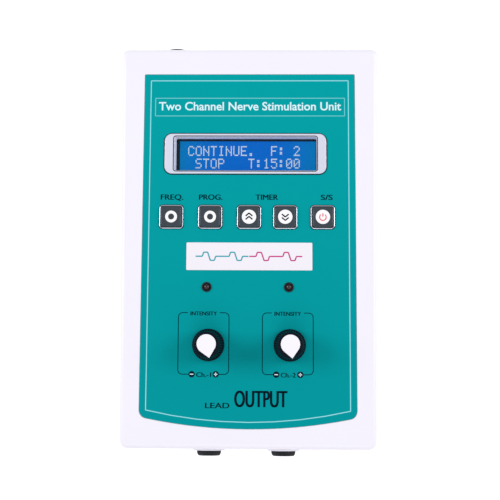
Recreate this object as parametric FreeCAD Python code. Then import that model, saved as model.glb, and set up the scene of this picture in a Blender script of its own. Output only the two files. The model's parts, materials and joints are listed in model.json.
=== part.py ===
"""Desk-top two-channel nerve stimulator: a wedge-shaped console.

A white plastic case carries a display, five square keys, two indicator lamps and two
intensity knobs on its sloping top. Two lead sockets face the user, and the supply inlet
and the power rocker are at the back.

World frame, in millimetres: +Z up, the user and the lead sockets at -Y, the supply inlet
at +Y. The origin lies on the table, under the middle of the unit's bounding box.

Panel frame: pieces on the sloping top are drawn flat, with x to the right, y towards the
back and z = 0 on the case's outer face, and on_panel() then tilts them into place.
"""
import FreeCAD
import Part
import math
import os

# ---- case: two shells that meet at a parting line ---------------------------------------
REAR_WIDTH = 123.4           # at the parting line
FRONT_WIDTH = 118.7
CASE_DEPTH = 188.4
FRONT_HEIGHT = 36.0          # top face above the table, at the front edge
REAR_HEIGHT = 50.0
PARTING_HEIGHT = 15.0
FOOT_HEIGHT = 3.0            # the base shell's underside above the table
WALL = 2.6
TOP_WALL = 3.0
FLOOR = 2.5
DRAFT = 0.016                # how far a side leans in for each millimetre away from the parting
FRONT_CORNER_RADIUS = 4.0
REAR_CORNER_RADIUS = 3.0
TOP_EDGE_RADIUS = 2.4
BOTTOM_EDGE_RADIUS = 1.8
LEAST_CORNER_RADIUS = 0.4    # the case's inside corners are never sharper than this
LIP_HEIGHT = 2.0             # the base shell's lip stands inside the cover
LIP_THICKNESS = 1.2
LIP_CLEARANCE = 0.2

PANEL_Y = -0.7               # the panel frame's origin, in front of the case's middle
PANEL_RISE = (REAR_HEIGHT - FRONT_HEIGHT) / CASE_DEPTH
PANEL_SLOPE = math.degrees(math.atan(PANEL_RISE))
PANEL_HEIGHT = (FRONT_HEIGHT + REAR_HEIGHT) / 2 + PANEL_Y * PANEL_RISE
INSIDE = -TOP_WALL           # panel frame: the cover's inner face

# ---- case screws, feet, vents and rating label ------------------------------------------
CASE_SCREW_X = 50.5
CASE_SCREW_Y = 83.5
CASE_POST_RADIUS = 4.0
BASE_BOSS_RADIUS = 4.5
CASE_SCREW_RADIUS = 1.4      # thread, and the post's pilot hole
CASE_SCREW_CLEARANCE = 0.3
CASE_SCREW_HEAD_RADIUS = 2.8
CASE_SCREW_HEAD = 2.0
CASE_SCREW_GRIP = 10.0       # thread inside the post
HEAD_SEAT_HEIGHT = 8.0       # where the screw heads bear in the base
HEAD_WELL_RADIUS = 3.3
CROSS_WIDTH = 0.7            # the cross recess in every screw head
CROSS_DEPTH = 1.0
CROSS_REACH = 2.1            # half the length of each arm
FOOT_X = 44.0
FOOT_Y = 70.0
FOOT_RADIUS = 6.5
FOOT_RECESS = 0.8
FOOT_EDGE = 0.8
VENT_COUNT = 9
VENT_PITCH = 6.0
VENT_WIDTH = 2.0
VENT_LENGTH = 20.0
VENT_ROWS = (-22.0, 12.0)
RATING_SIZE = (62.0, 30.0)
RATING_Y = 48.0
RATING_THICKNESS = 0.2
RATING_CORNER_RADIUS = 1.0

# ---- printed overlay in its shallow recess ----------------------------------------------
OVERLAY_WIDTH = 99.6
OVERLAY_TOP = 81.6           # panel y of its straight rear edge
OVERLAY_SIDE_END = -79.1     # where the sides meet the bowed front edge
OVERLAY_LOWEST = -84.4
OVERLAY_CORNER_RADIUS = 4.0
OVERLAY_TOP_CORNER_RADIUS = 0.6
OVERLAY_RECESS = 0.6
OVERLAY_THICKNESS = 0.4
OVERLAY_GAP = 0.15           # all round, between the overlay and its recess
OVERLAY_FACE = OVERLAY_THICKNESS - OVERLAY_RECESS   # panel z of the printed face
STRIP_SIZE = (58.6, 12.9)
STRIP_CENTRE = (0.3, -5.4)
STRIP_THICKNESS = 0.25
STRIP_CORNER_RADIUS = 0.5

# ---- display ----------------------------------------------------------------------------
BEZEL_SIZE = (76.2, 19.2)
BEZEL_CENTRE = (-1.8, 43.2)
BEZEL_CORNER_RADIUS = 3.5
BEZEL_OPENING = (67.1, 16.1)
BEZEL_OPENING_RADIUS = 0.8
BEZEL_RIM = 0.8              # flange thickness on top of the overlay
BEZEL_EDGE = 0.4
BEZEL_NECK_WALL = 1.1
BEZEL_FIT = 0.1
WINDOW_THICKNESS = 0.8
WINDOW_FIT = 0.1
LCD_CENTRE = (-0.75, 42.0)
LCD_FRAME_SIZE = (71.2, 25.2)
LCD_FRAME_CORNER_RADIUS = 0.8
LCD_VIEW = (64.5, 16.0)
LCD_SHEET = 0.5              # sheet metal of the frame
LCD_TOP_GAP = 0.3            # below the cover's inner face
LCD_MODULE_HEIGHT = 8.8      # frame top to board top
LCD_GLASS_SIZE = (69.6, 23.6)
LCD_GLASS_THICKNESS = 2.2
LCD_BOARD_SIZE = (80.0, 36.0)
LCD_HOLES = (75.0, 31.0)     # screw pattern
LCD_PIN_COUNT = 16
PIN_PITCH = 2.54
PIN_WIDTH = 0.64
PIN_HOLE_RADIUS = 0.5
PIN_LENGTH = 5.5
PIN_TIP = 0.5                # how far a pin stands out above the display's board
HEADER_THICKNESS = 2.5
BOARD_THICKNESS = 1.6
LCD_FRAME_TOP = INSIDE - LCD_TOP_GAP
LCD_BOARD_TOP = LCD_FRAME_TOP - LCD_MODULE_HEIGHT
LCD_BOARD_BOTTOM = LCD_BOARD_TOP - BOARD_THICKNESS

# ---- main circuit board -----------------------------------------------------------------
MAIN_BOARD_TOP = -11.0
MAIN_BOARD_BOTTOM = MAIN_BOARD_TOP - BOARD_THICKNESS
MAIN_BOARD_HALF_WIDTH = 50.0
MAIN_BOARD_FRONT = -60.0
MAIN_BOARD_REAR = 22.0
BOARD_SCREW_INSET = (3.5, 4.0)
BOARD_POST_RADIUS = 3.0
BOARD_SCREW_RADIUS = 1.0
BOARD_SCREW_CLEARANCE = 0.3
BOARD_SCREW_HEAD_RADIUS = 2.3
BOARD_SCREW_HEAD = 1.6
BOARD_SCREW_GRIP = 5.0

# ---- keys -------------------------------------------------------------------------------
KEY_ROW_Y = 13.1
KEY_X = {"frequency": -36.3, "program": -18.1, "timer_up": 0.1, "timer_down": 17.0, "start_stop": 34.5}
KEY_SIZE = 9.5
KEY_CORNER_RADIUS = 0.8
KEY_TOP = 1.2
KEY_EDGE = 0.35
KEY_TRAVEL = 0.3
KEY_GAP = 0.2                # between the cap and its frame, each side
KEY_FLANGE = 1.45            # how far the cap's flange reaches under the cover
KEY_FLANGE_THICKNESS = 1.2
KEY_REST_GAP = 0.2           # flange to cover at rest
KEY_SOCKET_DEPTH = 2.6
FRAME_OUTER = 11.1
FRAME_RIM = 0.5
FRAME_SKIRT_WALL = 0.35
FRAME_SKIRT_DEPTH = 2.0
FRAME_FIT = 0.1
FRAME_CORNER_RADIUS = 1.5
SWITCH_SIZE = 12.0
SWITCH_CORNER_RADIUS = 0.6
SWITCH_BODY_HEIGHT = 3.5
SWITCH_WELL_RADIUS = 3.55
SWITCH_WELL_DEPTH = 1.5
PLUNGER_RADIUS = 3.3
PLUNGER_RISE = 0.5           # plunger disc above the switch body
STEM_WIDTH = 3.8
STEM_FIT = 0.05

# ---- indicator lamps --------------------------------------------------------------------
LAMP_PLACES = ((-19.4, -19.7), (18.7, -19.7))
LAMP_RADIUS = 1.5
LAMP_RIM_RADIUS = 1.9
LAMP_RIM = 1.0
LAMP_HOLDER_RADIUS = 2.3
LAMP_SLEEVE_RADIUS = 2.0
LAMP_FIT = 0.05
LAMP_HOLDER_RIM = 0.5
LAMP_SLEEVE_END = INSIDE - 0.6
LEAD_WIDTH = 0.5
LEAD_SPACING = 2.54
LEAD_HOLE_RADIUS = 0.5
LEAD_TAIL = 1.5              # how far leads and lugs stand out below the board

# ---- intensity controls: potentiometers and knobs ---------------------------------------
KNOB_PLACES = ((-18.3, -46.4), (19.1, -46.4))
KNOB_POINTS = (12.6, 7.9)    # degrees that each pointer stands right of straight at the user
KNOB_SWEEP = 300.0
POT_RADIUS = 8.25
POT_THICKNESS = 6.5
BUSHING_RADIUS = 3.5
BUSHING_FIT = 0.1
BUSHING_TOP = 3.6
SHAFT_RADIUS = 3.0
SHAFT_FIT = 0.05
SHAFT_TOP = 12.0
SHAFT_FOOT = INSIDE - 5.0
SHAFT_END_GAP = 0.2          # between the shaft's foot and the end of its bore
NUT_FLATS = 10.0
NUT_THICKNESS = 2.0
NUT_CLEARANCE_RADIUS = 6.2   # hole in the overlay around the nut
LUG_PLACES = (-4.0, 0.0, 4.0)
LUG_OFFSET = -6.4
LUG_WIDTH = 1.2
LUG_THICKNESS = 0.6
LUG_HOLE = 0.4               # added to the lug's size for its hole in the board
KNOB_BASE_RADIUS = 7.4
KNOB_FLANGE = 1.8
KNOB_WAIST_RADIUS = 6.9
KNOB_TOP_RADIUS = 5.8
KNOB_BOTTOM = 0.5
KNOB_TOP = 14.2
KNOB_HOLLOW_RADIUS = 6.0
KNOB_HOLLOW_TOP = 4.2
KNOB_EDGE = 0.5
RIB_COUNT = 36
RIB_DEPTH = 0.35
RIB_HALF_WIDTH = 0.28
CAP_RADIUS = 4.5
CAP_TIP = 6.9                # from the round part's centre to the tip
CAP_OFFSET = 0.65            # the round part's centre lies behind the knob's axis
CAP_INLAY = 0.8
CAP_PROUD = 0.35
CAP_EDGE = 0.21

# ---- lead sockets on the front wall -----------------------------------------------------
SOCKET_X = (-18.2, 16.4)
SOCKET_HEIGHT = 25.0
SOCKET_BOSS_RADIUS = 7.4
SOCKET_BOSS = 0.5            # proud of the front wall
SOCKET_BORE_RADIUS = 3.2
SOCKET_BORE_DEPTH = 26.0
SOCKET_BUSHING_RADIUS = 4.4
SOCKET_NOSE = 2.4            # proud of the boss
RING_NUT_RADIUS = 5.6
RING_NUT_NOSE_RADIUS = 4.8
RING_NUT_STRAIGHT = 0.8      # height of its straight side, under the taper
SOCKET_BODY = (14.0, 14.0)
SOCKET_BODY_CORNER_RADIUS = 1.0
SOCKET_BODY_LENGTH = 28.0
SOCKET_FIT = 0.1
SOCKET_LANDING = 0.4         # added to the body's size for its flat landing inside the wall
SOCKET_LUG = (1.6, 0.5, 5.0)
SOCKET_LUG_OFFSETS = (-3.5, 3.5)

# ---- supply inlet on the rear wall ------------------------------------------------------
INLET_X = -35.8
INLET_HEIGHT = 34.9
INLET_BOSS_RADIUS = 8.0
INLET_BOSS = 1.0
INLET_FLANGE_RADIUS = 6.6
INLET_FLANGE = 2.0
INLET_EDGE = 0.5
INLET_BODY_RADIUS = 5.0
INLET_BODY_LENGTH = 15.0
INLET_FIT = 0.1
INLET_MOUTH_RADIUS = 2.9
INLET_MOUTH_DEPTH = 10.0
INLET_PIN_RADIUS = 1.05
INLET_PIN_SETBACK = 0.6      # pin's end behind the mouth
INLET_NUT_FLATS = 12.5
INLET_NUT = 2.2
INLET_LANDING_RADIUS = 7.6   # flat landing for the nut, inside the wall

# ---- rocker switch on the rear wall -----------------------------------------------------
ROCKER_X = 30.0
ROCKER_HEIGHT = 30.5
ROCKER_BEZEL = (15.0, 21.0)
ROCKER_BEZEL_THICKNESS = 1.6
ROCKER_BEZEL_RADIUS = 1.0
ROCKER_BEZEL_EDGE = 0.5
ROCKER_BODY = (12.8, 18.8)
ROCKER_BODY_DEPTH = 14.0
ROCKER_BODY_FIT = 0.1
ROCKER_WELL = (11.0, 17.4)
ROCKER_WELL_DEPTH = 7.5
ROCKER_BUTTON_GAP = 0.25
ROCKER_HALF_LENGTH = 7.9
ROCKER_END_THICKNESS = 3.0   # of the button, outward from its pivot
ROCKER_MIDDLE_THICKNESS = 1.9
ROCKER_BACK = 2.2
ROCKER_TILT = 10.0
ROCKER_PIVOT_RADIUS = 0.9
ROCKER_PIVOT_FIT = 0.05
ROCKER_PIVOT_SETBACK = 1.2   # pivot behind the wall's outer face
BLADE_SIZE = (4.8, 0.8, 7.0)
BLADE_OFFSETS = (-5.0, 5.0)

# ---- parts on the underside of the main board -------------------------------------------
TRANSFORMER_PLACES = ((-28.0, -38.0), (28.0, -38.0))
CORE_SIZE = (19.0, 15.0, 15.0)
CORE_LEG = 4.6
BOBBIN_SIZE = (9.2, 17.4, 10.0)
CHIP_SIZE = (52.0, 13.6, 4.0)
CHIP_PLACE = (-6.0, -10.0)
CHIP_STANDOFF = 0.6
CHIP_LEG_COUNT = 20
CHIP_LEG = (0.5, 0.3)
REGULATOR_PLACE = (36.0, 6.0)
REGULATOR_SIZE = (10.0, 4.4, 9.0)
REGULATOR_TAB = (10.0, 1.3, 15.5)
REGULATOR_STANDOFF = 3.0
REGULATOR_LEG = (0.8, 0.6)
REGULATOR_LEG_ROOT = 0.5     # how far a leg reaches into the body
CAPACITORS = ((-38.0, -12.0, 5.0, 12.0), (-42.0, 6.0, 4.0, 11.0), (4.0, -40.0, 4.0, 11.0),
              (-6.0, -40.0, 4.0, 11.0), (24.0, 6.0, 4.0, 11.0), (42.0, -14.0, 3.2, 8.0))
CRYSTAL_PLACE = (28.0, -14.0)
CRYSTAL_SIZE = (11.0, 4.6, 3.6)
RESISTOR_COUNT = 10
RESISTOR_RADIUS = 1.1
RESISTOR_LENGTH = 6.2
RESISTOR_ROW_Y = 4.0
RESISTOR_PITCH = 5.0
RESISTOR_FIRST_X = -30.0

# ---- ribbon cable between the display and the main board --------------------------------
RIBBON_WIDTH = 20.0
RIBBON_THICKNESS = 0.9
RIBBON_DEPTH = -25.0         # panel z of its middle run
RIBBON_BEND = 4.0
RIBBON_END_Y = 17.0
RIBBON_PLUG = (23.0, 5.0, 4.0)

ORIGIN = FreeCAD.Vector(0, 0, 0)
X_AXIS = FreeCAD.Vector(1, 0, 0)
Y_AXIS = FreeCAD.Vector(0, 1, 0)
Z_AXIS = FreeCAD.Vector(0, 0, 1)
OVERSIZE = 300.0             # reaches past every piece
CUT_PAST = 1.0               # how far a cutter reaches past what it cuts
TOLERANCE = 1e-6
FULL_ROUND = 1 / 2.1         # the largest corner radius, as a share of the width that it rounds off

# The box of the whole unit reaches from the socket noses to the rocker's raised end.
FRONT_REACH = CASE_DEPTH / 2 + SOCKET_BOSS + SOCKET_NOSE
ROCKER_REACH = (ROCKER_END_THICKNESS * math.cos(math.radians(ROCKER_TILT))
                + ROCKER_HALF_LENGTH * math.sin(math.radians(ROCKER_TILT)) - ROCKER_PIVOT_SETBACK)
REAR_REACH = CASE_DEPTH / 2 + max(INLET_BOSS + INLET_FLANGE, ROCKER_REACH)
ORIGIN_SHIFT = FreeCAD.Vector(0, (FRONT_REACH - REAR_REACH) / 2, 0)


# ---- drawing helpers --------------------------------------------------------------------
def vector(x, y, z):
    return FreeCAD.Vector(x, y, z)


def box(width, depth, low, high, x=0.0, y=0.0):
    """A block centred on (x, y), from height low to height high."""
    return Part.makeBox(width, depth, high - low, vector(x - width / 2, y - depth / 2, low))


def rod(radius, low, high, x=0.0, y=0.0):
    return Part.makeCylinder(radius, high - low, vector(x, y, low))


def cone(low_radius, high_radius, low, high, x=0.0, y=0.0):
    return Part.makeCone(low_radius, high_radius, high - low, vector(x, y, low))


def upright_edges(shape):
    return [edge for edge in shape.Edges if abs(edge.Vertexes[0].Z - edge.Vertexes[-1].Z) > TOLERANCE]


def slab(width, depth, radius, low, high, x=0.0, y=0.0):
    """A block with its four upright edges rounded."""
    block = box(width, depth, low, high, x, y)
    return block.makeFillet(radius, upright_edges(block))


def hexagon(flats, low, high, x=0.0, y=0.0):
    reach = flats / math.sqrt(3)
    turns = [math.radians(60 * k) for k in range(7)]
    corners = [vector(x + reach * math.cos(turn), y + reach * math.sin(turn), low) for turn in turns]
    return Part.Face(Part.makePolygon(corners)).extrude(vector(0, 0, high - low))


def on_panel(shape):
    """Tilt a piece drawn in the panel frame onto the sloping top."""
    placed = shape.copy()
    placed.rotate(ORIGIN, X_AXIS, PANEL_SLOPE)
    placed.translate(vector(0, PANEL_Y, PANEL_HEIGHT))
    return placed


def on_front(shape, x, height):
    """Turn a piece drawn with +Z outwards so that it faces the user, at the front wall."""
    placed = shape.copy()
    placed.rotate(ORIGIN, X_AXIS, 90)
    placed.translate(vector(x, -CASE_DEPTH / 2, height))
    return placed


def on_rear(shape, x, height):
    """Turn a piece drawn with +Z outwards so that it faces backwards, at the rear wall."""
    placed = shape.copy()
    placed.rotate(ORIGIN, X_AXIS, -90)
    placed.translate(vector(x, CASE_DEPTH / 2, height))
    return placed


def group(solids):
    """Several separate solids kept together as one node."""
    return Part.makeCompound(solids)


def joined(first, others):
    return first.multiFuse(others).removeSplitter()


def cross_recess(bottom_face):
    """The cross cut into a screw head whose outer face is at height bottom_face."""
    low, high = bottom_face - CUT_PAST, bottom_face + CROSS_DEPTH
    bar = box(CROSS_REACH * 2, CROSS_WIDTH, low, high)
    return bar.fuse(box(CROSS_WIDTH, CROSS_REACH * 2, low, high))


# ---- case -------------------------------------------------------------------------------
def case_corners(height, inset):
    """The case's four plan corners at one height, drawn in by inset."""
    lean = DRAFT * abs(height - PARTING_HEIGHT) + inset
    taper = (REAR_WIDTH - FRONT_WIDTH) / 2 / CASE_DEPTH
    half = CASE_DEPTH / 2 - lean
    middle = (REAR_WIDTH + FRONT_WIDTH) / 4 - lean * math.hypot(1, taper)
    rear, front = middle + taper * half, middle - taper * half
    plan = ((-front, -half), (front, -half), (rear, half), (-rear, half))
    return [vector(x, y, height) for x, y in plan]


def case_block(low, high, inset):
    """The case's outer form between two heights, drawn in by inset, with rounded corners."""
    outlines = [Part.makePolygon(corners + corners[:1])
                for corners in (case_corners(low, inset), case_corners(high, inset))]
    block = Part.makeLoft(outlines, True, True)
    for radius, side in ((FRONT_CORNER_RADIUS, -1), (REAR_CORNER_RADIUS, 1)):
        upright = [edge for edge in block.Edges
                   if abs(edge.Vertexes[0].Z - edge.Vertexes[-1].Z) > (high - low) / 2
                   and edge.CenterOfMass.y * side > CASE_DEPTH / 3]
        block = block.makeFillet(max(radius - inset, LEAST_CORNER_RADIUS), upright)
    return block


def below_panel(block, depth):
    """Cut a block off at the sloping plane that lies depth under the panel's outer face."""
    return block.cut(on_panel(box(OVERSIZE, OVERSIZE, -depth, OVERSIZE)))


def overlay_shape(low, high, grow):
    """The overlay's outline as a plate: straight back and sides and a bowed front edge."""
    half = OVERLAY_WIDTH / 2 + grow
    rear, side_end, lowest = OVERLAY_TOP + grow, OVERLAY_SIDE_END - grow, OVERLAY_LOWEST - grow
    left_front, right_front = vector(-half, side_end, low), vector(half, side_end, low)
    left_rear, right_rear = vector(-half, rear, low), vector(half, rear, low)
    edges = [Part.makeLine(left_rear, right_rear), Part.makeLine(right_rear, right_front),
             Part.Arc(right_front, vector(0, lowest, low), left_front).toShape(),
             Part.makeLine(left_front, left_rear)]
    plate = Part.Face(Part.Wire(edges)).extrude(vector(0, 0, high - low))
    front = [edge for edge in upright_edges(plate) if edge.CenterOfMass.y < 0]
    plate = plate.makeFillet(OVERLAY_CORNER_RADIUS, front)
    back = [edge for edge in upright_edges(plate) if edge.CenterOfMass.y > rear - TOLERANCE]
    return plate.makeFillet(OVERLAY_TOP_CORNER_RADIUS, back)


def lcd_screw_places():
    return [(LCD_CENTRE[0] + sx * LCD_HOLES[0] / 2, LCD_CENTRE[1] + sy * LCD_HOLES[1] / 2)
            for sx in (-1, 1) for sy in (-1, 1)]


def board_screw_places():
    x = MAIN_BOARD_HALF_WIDTH - BOARD_SCREW_INSET[0]
    front = MAIN_BOARD_FRONT + BOARD_SCREW_INSET[1]
    rear = MAIN_BOARD_REAR - BOARD_SCREW_INSET[1]
    return [(sx * x, y) for sx in (-1, 1) for y in (front, rear)]


def case_screw_places():
    return [(sx * CASE_SCREW_X, sy * CASE_SCREW_Y) for sx in (-1, 1) for sy in (-1, 1)]


def panel_openings(low, high):
    """Everything that passes through both the overlay and the cover, as one list of cutters."""
    neck = neck_size()
    cutters = [slab(neck[0] + 2 * BEZEL_FIT, neck[1] + 2 * BEZEL_FIT, BEZEL_OPENING_RADIUS + BEZEL_NECK_WALL,
                    low, high, *BEZEL_CENTRE)]
    hole = frame_skirt_size() + 2 * FRAME_FIT
    cutters += [slab(hole, hole, KEY_CORNER_RADIUS, low, high, x, KEY_ROW_Y) for x in KEY_X.values()]
    cutters += [rod(LAMP_SLEEVE_RADIUS + LAMP_FIT, low, high, x, y) for x, y in LAMP_PLACES]
    return cutters


def neck_size():
    return (BEZEL_OPENING[0] + 2 * BEZEL_NECK_WALL, BEZEL_OPENING[1] + 2 * BEZEL_NECK_WALL)


def frame_skirt_size():
    return KEY_SIZE + 2 * KEY_GAP + 2 * FRAME_SKIRT_WALL


def cover_posts():
    """Posts that hang from the cover: for the base shell, the display and the main board."""
    reach = REAR_HEIGHT
    for_case = [rod(CASE_POST_RADIUS, PARTING_HEIGHT, reach, x, y) for x, y in case_screw_places()]
    for_lcd = [on_panel(rod(BOARD_POST_RADIUS, LCD_BOARD_TOP, 0, x, y)) for x, y in lcd_screw_places()]
    for_board = [on_panel(rod(BOARD_POST_RADIUS, MAIN_BOARD_TOP, 0, x, y)) for x, y in board_screw_places()]
    return [below_panel(post, TOP_WALL / 2) for post in for_case + for_lcd + for_board]


def cover_pilot_holes():
    grip = PARTING_HEIGHT + CASE_SCREW_GRIP
    holes = [rod(CASE_SCREW_RADIUS, PARTING_HEIGHT, grip, x, y) for x, y in case_screw_places()]
    holes += [on_panel(rod(BOARD_SCREW_RADIUS, LCD_BOARD_TOP, LCD_BOARD_TOP + BOARD_SCREW_GRIP, x, y))
              for x, y in lcd_screw_places()]
    holes += [on_panel(rod(BOARD_SCREW_RADIUS, MAIN_BOARD_TOP, MAIN_BOARD_TOP + BOARD_SCREW_GRIP, x, y))
              for x, y in board_screw_places()]
    return holes


def make_top_cover():
    outer = below_panel(case_block(PARTING_HEIGHT, REAR_HEIGHT + TOP_WALL, 0), 0).removeSplitter()
    top_face = max(outer.Faces, key=lambda face: face.CenterOfMass.z)
    outer = outer.makeFillet(TOP_EDGE_RADIUS, top_face.Edges)
    inner = below_panel(case_block(PARTING_HEIGHT - WALL, REAR_HEIGHT, WALL), TOP_WALL)
    bosses = [on_front(rod(SOCKET_BOSS_RADIUS, -WALL / 2, SOCKET_BOSS), x, SOCKET_HEIGHT) for x in SOCKET_X]
    bosses.append(on_rear(rod(INLET_BOSS_RADIUS, -WALL / 2, INLET_BOSS), INLET_X, INLET_HEIGHT))
    cover = joined(outer.cut(inner), bosses + cover_posts())
    cutters = [on_panel(overlay_shape(-OVERLAY_RECESS, TOP_WALL, OVERLAY_GAP))]
    cutters += [on_panel(shape) for shape in panel_openings(-2 * TOP_WALL, TOP_WALL)]
    cutters += [on_panel(rod(BUSHING_RADIUS + BUSHING_FIT, -2 * TOP_WALL, TOP_WALL, x, y))
                for x, y in KNOB_PLACES]
    cutters += cover_pilot_holes()
    socket_hole = rod(SOCKET_BUSHING_RADIUS + SOCKET_FIT, -2 * WALL, 2 * SOCKET_BOSS)
    landing = box(*[side + SOCKET_LANDING for side in SOCKET_BODY], -SOCKET_BODY_LENGTH, -WALL)
    cutters += [on_front(shape, x, SOCKET_HEIGHT) for x in SOCKET_X for shape in (socket_hole, landing)]
    inlet_hole = rod(INLET_BODY_RADIUS + INLET_FIT, -2 * WALL, 2 * INLET_BOSS)
    nut_landing = rod(INLET_LANDING_RADIUS, -3 * WALL, -WALL)
    cutters += [on_rear(shape, INLET_X, INLET_HEIGHT) for shape in (inlet_hole, nut_landing)]
    rocker_hole = box(*[side + 2 * ROCKER_BODY_FIT for side in ROCKER_BODY], -2 * WALL, WALL)
    cutters.append(on_rear(rocker_hole, ROCKER_X, ROCKER_HEIGHT))
    return cover.cut(cutters)


def make_base_shell():
    outer = case_block(FOOT_HEIGHT, PARTING_HEIGHT, 0)
    bottom_face = min(outer.Faces, key=lambda face: face.CenterOfMass.z)
    outer = outer.makeFillet(BOTTOM_EDGE_RADIUS, bottom_face.Edges)
    inner = case_block(FOOT_HEIGHT + FLOOR, PARTING_HEIGHT + WALL, WALL)
    lip_inset = WALL + LIP_CLEARANCE
    lip = case_block(PARTING_HEIGHT - WALL, PARTING_HEIGHT + LIP_HEIGHT, lip_inset)
    lip = lip.cut(case_block(PARTING_HEIGHT - WALL, PARTING_HEIGHT + LIP_HEIGHT, lip_inset + LIP_THICKNESS))
    lip_root = case_block(PARTING_HEIGHT - WALL, PARTING_HEIGHT, WALL / 2)
    lip_root = lip_root.cut(case_block(PARTING_HEIGHT - WALL, PARTING_HEIGHT, lip_inset + LIP_THICKNESS))
    bosses = [rod(BASE_BOSS_RADIUS, FOOT_HEIGHT + FLOOR / 2, PARTING_HEIGHT, x, y)
              for x, y in case_screw_places()]
    shell = joined(outer.cut(inner), [lip, lip_root] + bosses)
    cutters = []
    for x, y in case_screw_places():
        cutters.append(rod(CASE_SCREW_RADIUS + CASE_SCREW_CLEARANCE, 0, PARTING_HEIGHT + WALL, x, y))
        cutters.append(rod(HEAD_WELL_RADIUS, 0, HEAD_SEAT_HEIGHT, x, y))
    cutters += [rod(FOOT_RADIUS, 0, FOOT_HEIGHT + FOOT_RECESS, x, y) for x, y in foot_places()]
    first = -(VENT_COUNT - 1) / 2 * VENT_PITCH
    cutters += [slab(VENT_WIDTH, VENT_LENGTH, VENT_WIDTH * FULL_ROUND, 0, FOOT_HEIGHT + 2 * FLOOR,
                     first + k * VENT_PITCH, y) for k in range(VENT_COUNT) for y in VENT_ROWS]
    return shell.cut(cutters)


def foot_places():
    return [(sx * FOOT_X, sy * FOOT_Y) for sx in (-1, 1) for sy in (-1, 1)]


def make_feet():
    feet = []
    for x, y in foot_places():
        foot = rod(FOOT_RADIUS, 0, FOOT_HEIGHT + FOOT_RECESS, x, y)
        rim = [edge for edge in foot.Edges
               if len(edge.Vertexes) == 1 and edge.CenterOfMass.z < FOOT_HEIGHT / 2]
        feet.append(foot.makeChamfer(FOOT_EDGE, rim))
    return group(feet)


def make_case_screws():
    screws = []
    for x, y in case_screw_places():
        head_face = HEAD_SEAT_HEIGHT - CASE_SCREW_HEAD
        head = rod(CASE_SCREW_HEAD_RADIUS, head_face, HEAD_SEAT_HEIGHT)
        shank = rod(CASE_SCREW_RADIUS, HEAD_SEAT_HEIGHT, PARTING_HEIGHT + CASE_SCREW_GRIP)
        screw = head.fuse(shank).cut(cross_recess(head_face))
        screw.translate(vector(x, y, 0))
        screws.append(screw)
    return group(screws)


def make_rating_label():
    return slab(*RATING_SIZE, RATING_CORNER_RADIUS, FOOT_HEIGHT - RATING_THICKNESS, FOOT_HEIGHT, 0, RATING_Y)


# ---- panel ------------------------------------------------------------------------------
def make_overlay():
    cutters = panel_openings(-TOP_WALL, TOP_WALL)
    cutters += [rod(NUT_CLEARANCE_RADIUS, -TOP_WALL, TOP_WALL, x, y) for x, y in KNOB_PLACES]
    return on_panel(overlay_shape(-OVERLAY_RECESS, OVERLAY_FACE, 0).cut(cutters))


def make_name_strip():
    return on_panel(slab(*STRIP_SIZE, STRIP_CORNER_RADIUS, OVERLAY_FACE, OVERLAY_FACE + STRIP_THICKNESS,
                         *STRIP_CENTRE))


def make_lcd_bezel():
    flange = slab(*BEZEL_SIZE, BEZEL_CORNER_RADIUS, OVERLAY_FACE, OVERLAY_FACE + BEZEL_RIM, *BEZEL_CENTRE)
    top_face = max(flange.Faces, key=lambda face: face.CenterOfMass.z)
    flange = flange.makeFillet(BEZEL_EDGE, top_face.Edges)
    neck = slab(*neck_size(), BEZEL_OPENING_RADIUS + BEZEL_NECK_WALL, INSIDE, OVERLAY_FACE + BEZEL_RIM / 2,
                *BEZEL_CENTRE)
    opening = slab(*BEZEL_OPENING, BEZEL_OPENING_RADIUS, 2 * INSIDE, TOP_WALL, *BEZEL_CENTRE)
    return on_panel(joined(flange, [neck]).cut(opening))


def make_lcd_window():
    width, depth = (size - 2 * WINDOW_FIT for size in BEZEL_OPENING)
    top = INSIDE + WINDOW_THICKNESS
    return on_panel(slab(width, depth, BEZEL_OPENING_RADIUS, INSIDE, top, *BEZEL_CENTRE))


def make_lcd_metal_frame():
    shell = slab(*LCD_FRAME_SIZE, LCD_FRAME_CORNER_RADIUS, LCD_BOARD_TOP, LCD_FRAME_TOP, *LCD_CENTRE)
    inside = [size - 2 * LCD_SHEET for size in LCD_FRAME_SIZE]
    hollow = box(*inside, LCD_BOARD_TOP - CUT_PAST, LCD_FRAME_TOP - LCD_SHEET, *LCD_CENTRE)
    window = box(*LCD_VIEW, LCD_BOARD_TOP, 0, *LCD_CENTRE)
    return on_panel(shell.cut([hollow, window]))


def make_lcd_glass():
    top = LCD_FRAME_TOP - LCD_SHEET
    return on_panel(box(*LCD_GLASS_SIZE, top - LCD_GLASS_THICKNESS, top, *LCD_CENTRE))


def make_lcd_backlight():
    top = LCD_FRAME_TOP - LCD_SHEET - LCD_GLASS_THICKNESS
    return on_panel(box(*LCD_GLASS_SIZE, LCD_BOARD_TOP, top, *LCD_CENTRE))


def lcd_pin_places():
    y = LCD_CENTRE[1] + LCD_HOLES[1] / 2
    first = LCD_CENTRE[0] - (LCD_PIN_COUNT - 1) / 2 * PIN_PITCH
    return [(first + k * PIN_PITCH, y) for k in range(LCD_PIN_COUNT)]


def make_lcd_board():
    board = box(*LCD_BOARD_SIZE, LCD_BOARD_BOTTOM, LCD_BOARD_TOP, *LCD_CENTRE)
    hole_radius = BOARD_SCREW_RADIUS + BOARD_SCREW_CLEARANCE
    low, high = LCD_BOARD_BOTTOM - CUT_PAST, LCD_BOARD_TOP + CUT_PAST
    cutters = [rod(hole_radius, low, high, x, y) for x, y in lcd_screw_places()]
    cutters += [rod(PIN_HOLE_RADIUS, low, high, x, y) for x, y in lcd_pin_places()]
    return on_panel(board.cut(cutters))


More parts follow.
